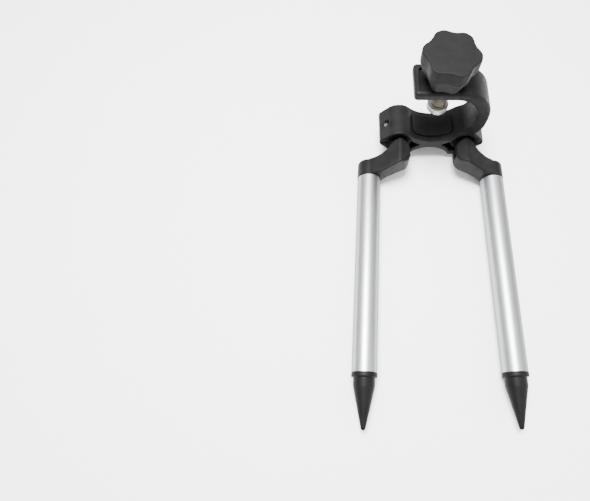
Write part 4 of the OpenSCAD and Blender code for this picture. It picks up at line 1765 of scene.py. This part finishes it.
@dataclass
class Studio:
    """The pale table, the soft lights and the camera.

    Attributes:
        pan: The camera's turn, in radians about X, Y and Z.
        aim: A point on the object.
        offset: Where that point lies from the camera.
        focal: Focal length in picture widths.
        centre: Middle of the lens in the picture, in pixels.
        picture: Width and height of the picture, in pixels.
        sensor: Width of the camera's sensor.
        nearest: Distance at which the camera starts to see, in metres.
        floor_z: Height of the table.
        floor_reach: Half the width of the table, in metres.
        floor_dark: Colour of the table's darker patches.
        floor_light: Colour of the table's lighter patches.
        floor_patch: Size of the table's patches.
        floor_roughness: Roughness of the table.
        sky: Brightness of the surroundings at the horizon and overhead.
        lit: What the lights point at, in metres.
    """

    pan: Triple = (-0.3071, 0.02727, 0.00692)
    aim: Triple = (-4.55, -95.99, -4.0)
    offset: Triple = (66.28, 46.44, -366.02)
    focal: float = 440.0
    centre: Pair = (352.9, 282.1)
    picture: Pair = (590.0, 501.0)
    sensor: float = 36.0
    nearest: float = 0.01
    floor_z: float = -27.3
    floor_reach: float = 3.0
    floor_dark: Colour = grey(0.93)
    floor_light: Colour = grey(0.95)
    floor_patch: float = 60.0
    floor_roughness: float = 0.6
    sky: Pair = (0.5, 2.2)
    lit: Triple = (0.0, -0.09, 0.0)

    def camera(self) -> None:
        """Sets up the camera at the photograph's viewing angle."""
        data = bpy.data.cameras.new("studio_camera")
        data.sensor_width = self.sensor
        data.lens = self.sensor * self.focal / self.picture[0]
        data.shift_x = (self.picture[0] / 2 - self.centre[0]) / self.picture[0]
        data.shift_y = (self.centre[1] - self.picture[1] / 2) / self.picture[0]
        data.clip_start = self.nearest
        camera = bpy.data.objects.new("studio_camera", data)
        bpy.context.scene.collection.objects.link(camera)
        turn = Euler(self.pan, "XYZ").to_matrix()
        back = turn.transposed()
        place = Vector(self.aim) - back @ Vector(self.offset)
        camera.matrix_world = Matrix.Translation(place * MM) @ back.to_4x4()
        bpy.context.scene.camera = camera

    def table(self) -> None:
        """Makes the pale table that the bipod lies on."""
        reach, height = self.floor_reach, self.floor_z * MM
        mesh = bpy.data.meshes.new("table")
        signs = ((-1, -1), (1, -1), (1, 1), (-1, 1))
        mesh.from_pydata([(a * reach, b * reach, height) for a, b in signs], [], [(0, 1, 2, 3)])
        shader = Shader("pale_table", self.floor_roughness)
        patches = shader.noise(self.floor_patch, detail=2)
        shader.colour(shader.blend(patches, self.floor_dark, self.floor_light))
        mesh.materials.append(shader.material)
        table = bpy.data.objects.new("table", mesh)
        bpy.context.scene.collection.objects.link(table)

    def surroundings(self) -> None:
        """Makes a white sky that is brightest overhead."""
        world = bpy.data.worlds.new("studio")
        world.use_nodes = True
        tree = world.node_tree
        upward = tree.nodes.new("ShaderNodeSeparateXYZ")
        tree.links.new(tree.nodes.new("ShaderNodeTexCoord").outputs["Generated"], upward.inputs["Vector"])
        rise = tree.nodes.new("ShaderNodeMapRange")
        rise.inputs["To Min"].default_value, rise.inputs["To Max"].default_value = self.sky
        tree.links.new(upward.outputs["Z"], rise.inputs["Value"])
        tree.links.new(rise.outputs["Result"], tree.nodes["Background"].inputs["Strength"])
        tree.nodes["Background"].inputs["Color"].default_value = (1, 1, 1, 1)
        bpy.context.scene.world = world

    def build(self) -> None:
        """Makes the sky, the lights, the table and the camera."""
        self.surroundings()
        for lamp in LAMPS:
            lamp.hang(self.lit)
        self.table()
        self.camera()


def main() -> None:
    """Builds the bipod and the studio."""
    logging.basicConfig(level=logging.INFO, format="%(name)s: %(message)s")
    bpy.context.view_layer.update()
    palette = {finish.name: finish.make() for finish in FINISHES}
    Head().build(palette)
    for side in Side:
        Swivel(side).build(palette)
        Leg(side).build(palette)
    Clamp().build(palette)
    dress_kept_nodes(palette)
    Studio().build()
    bpy.context.view_layer.update()


if __name__ == "__main__":
    main()
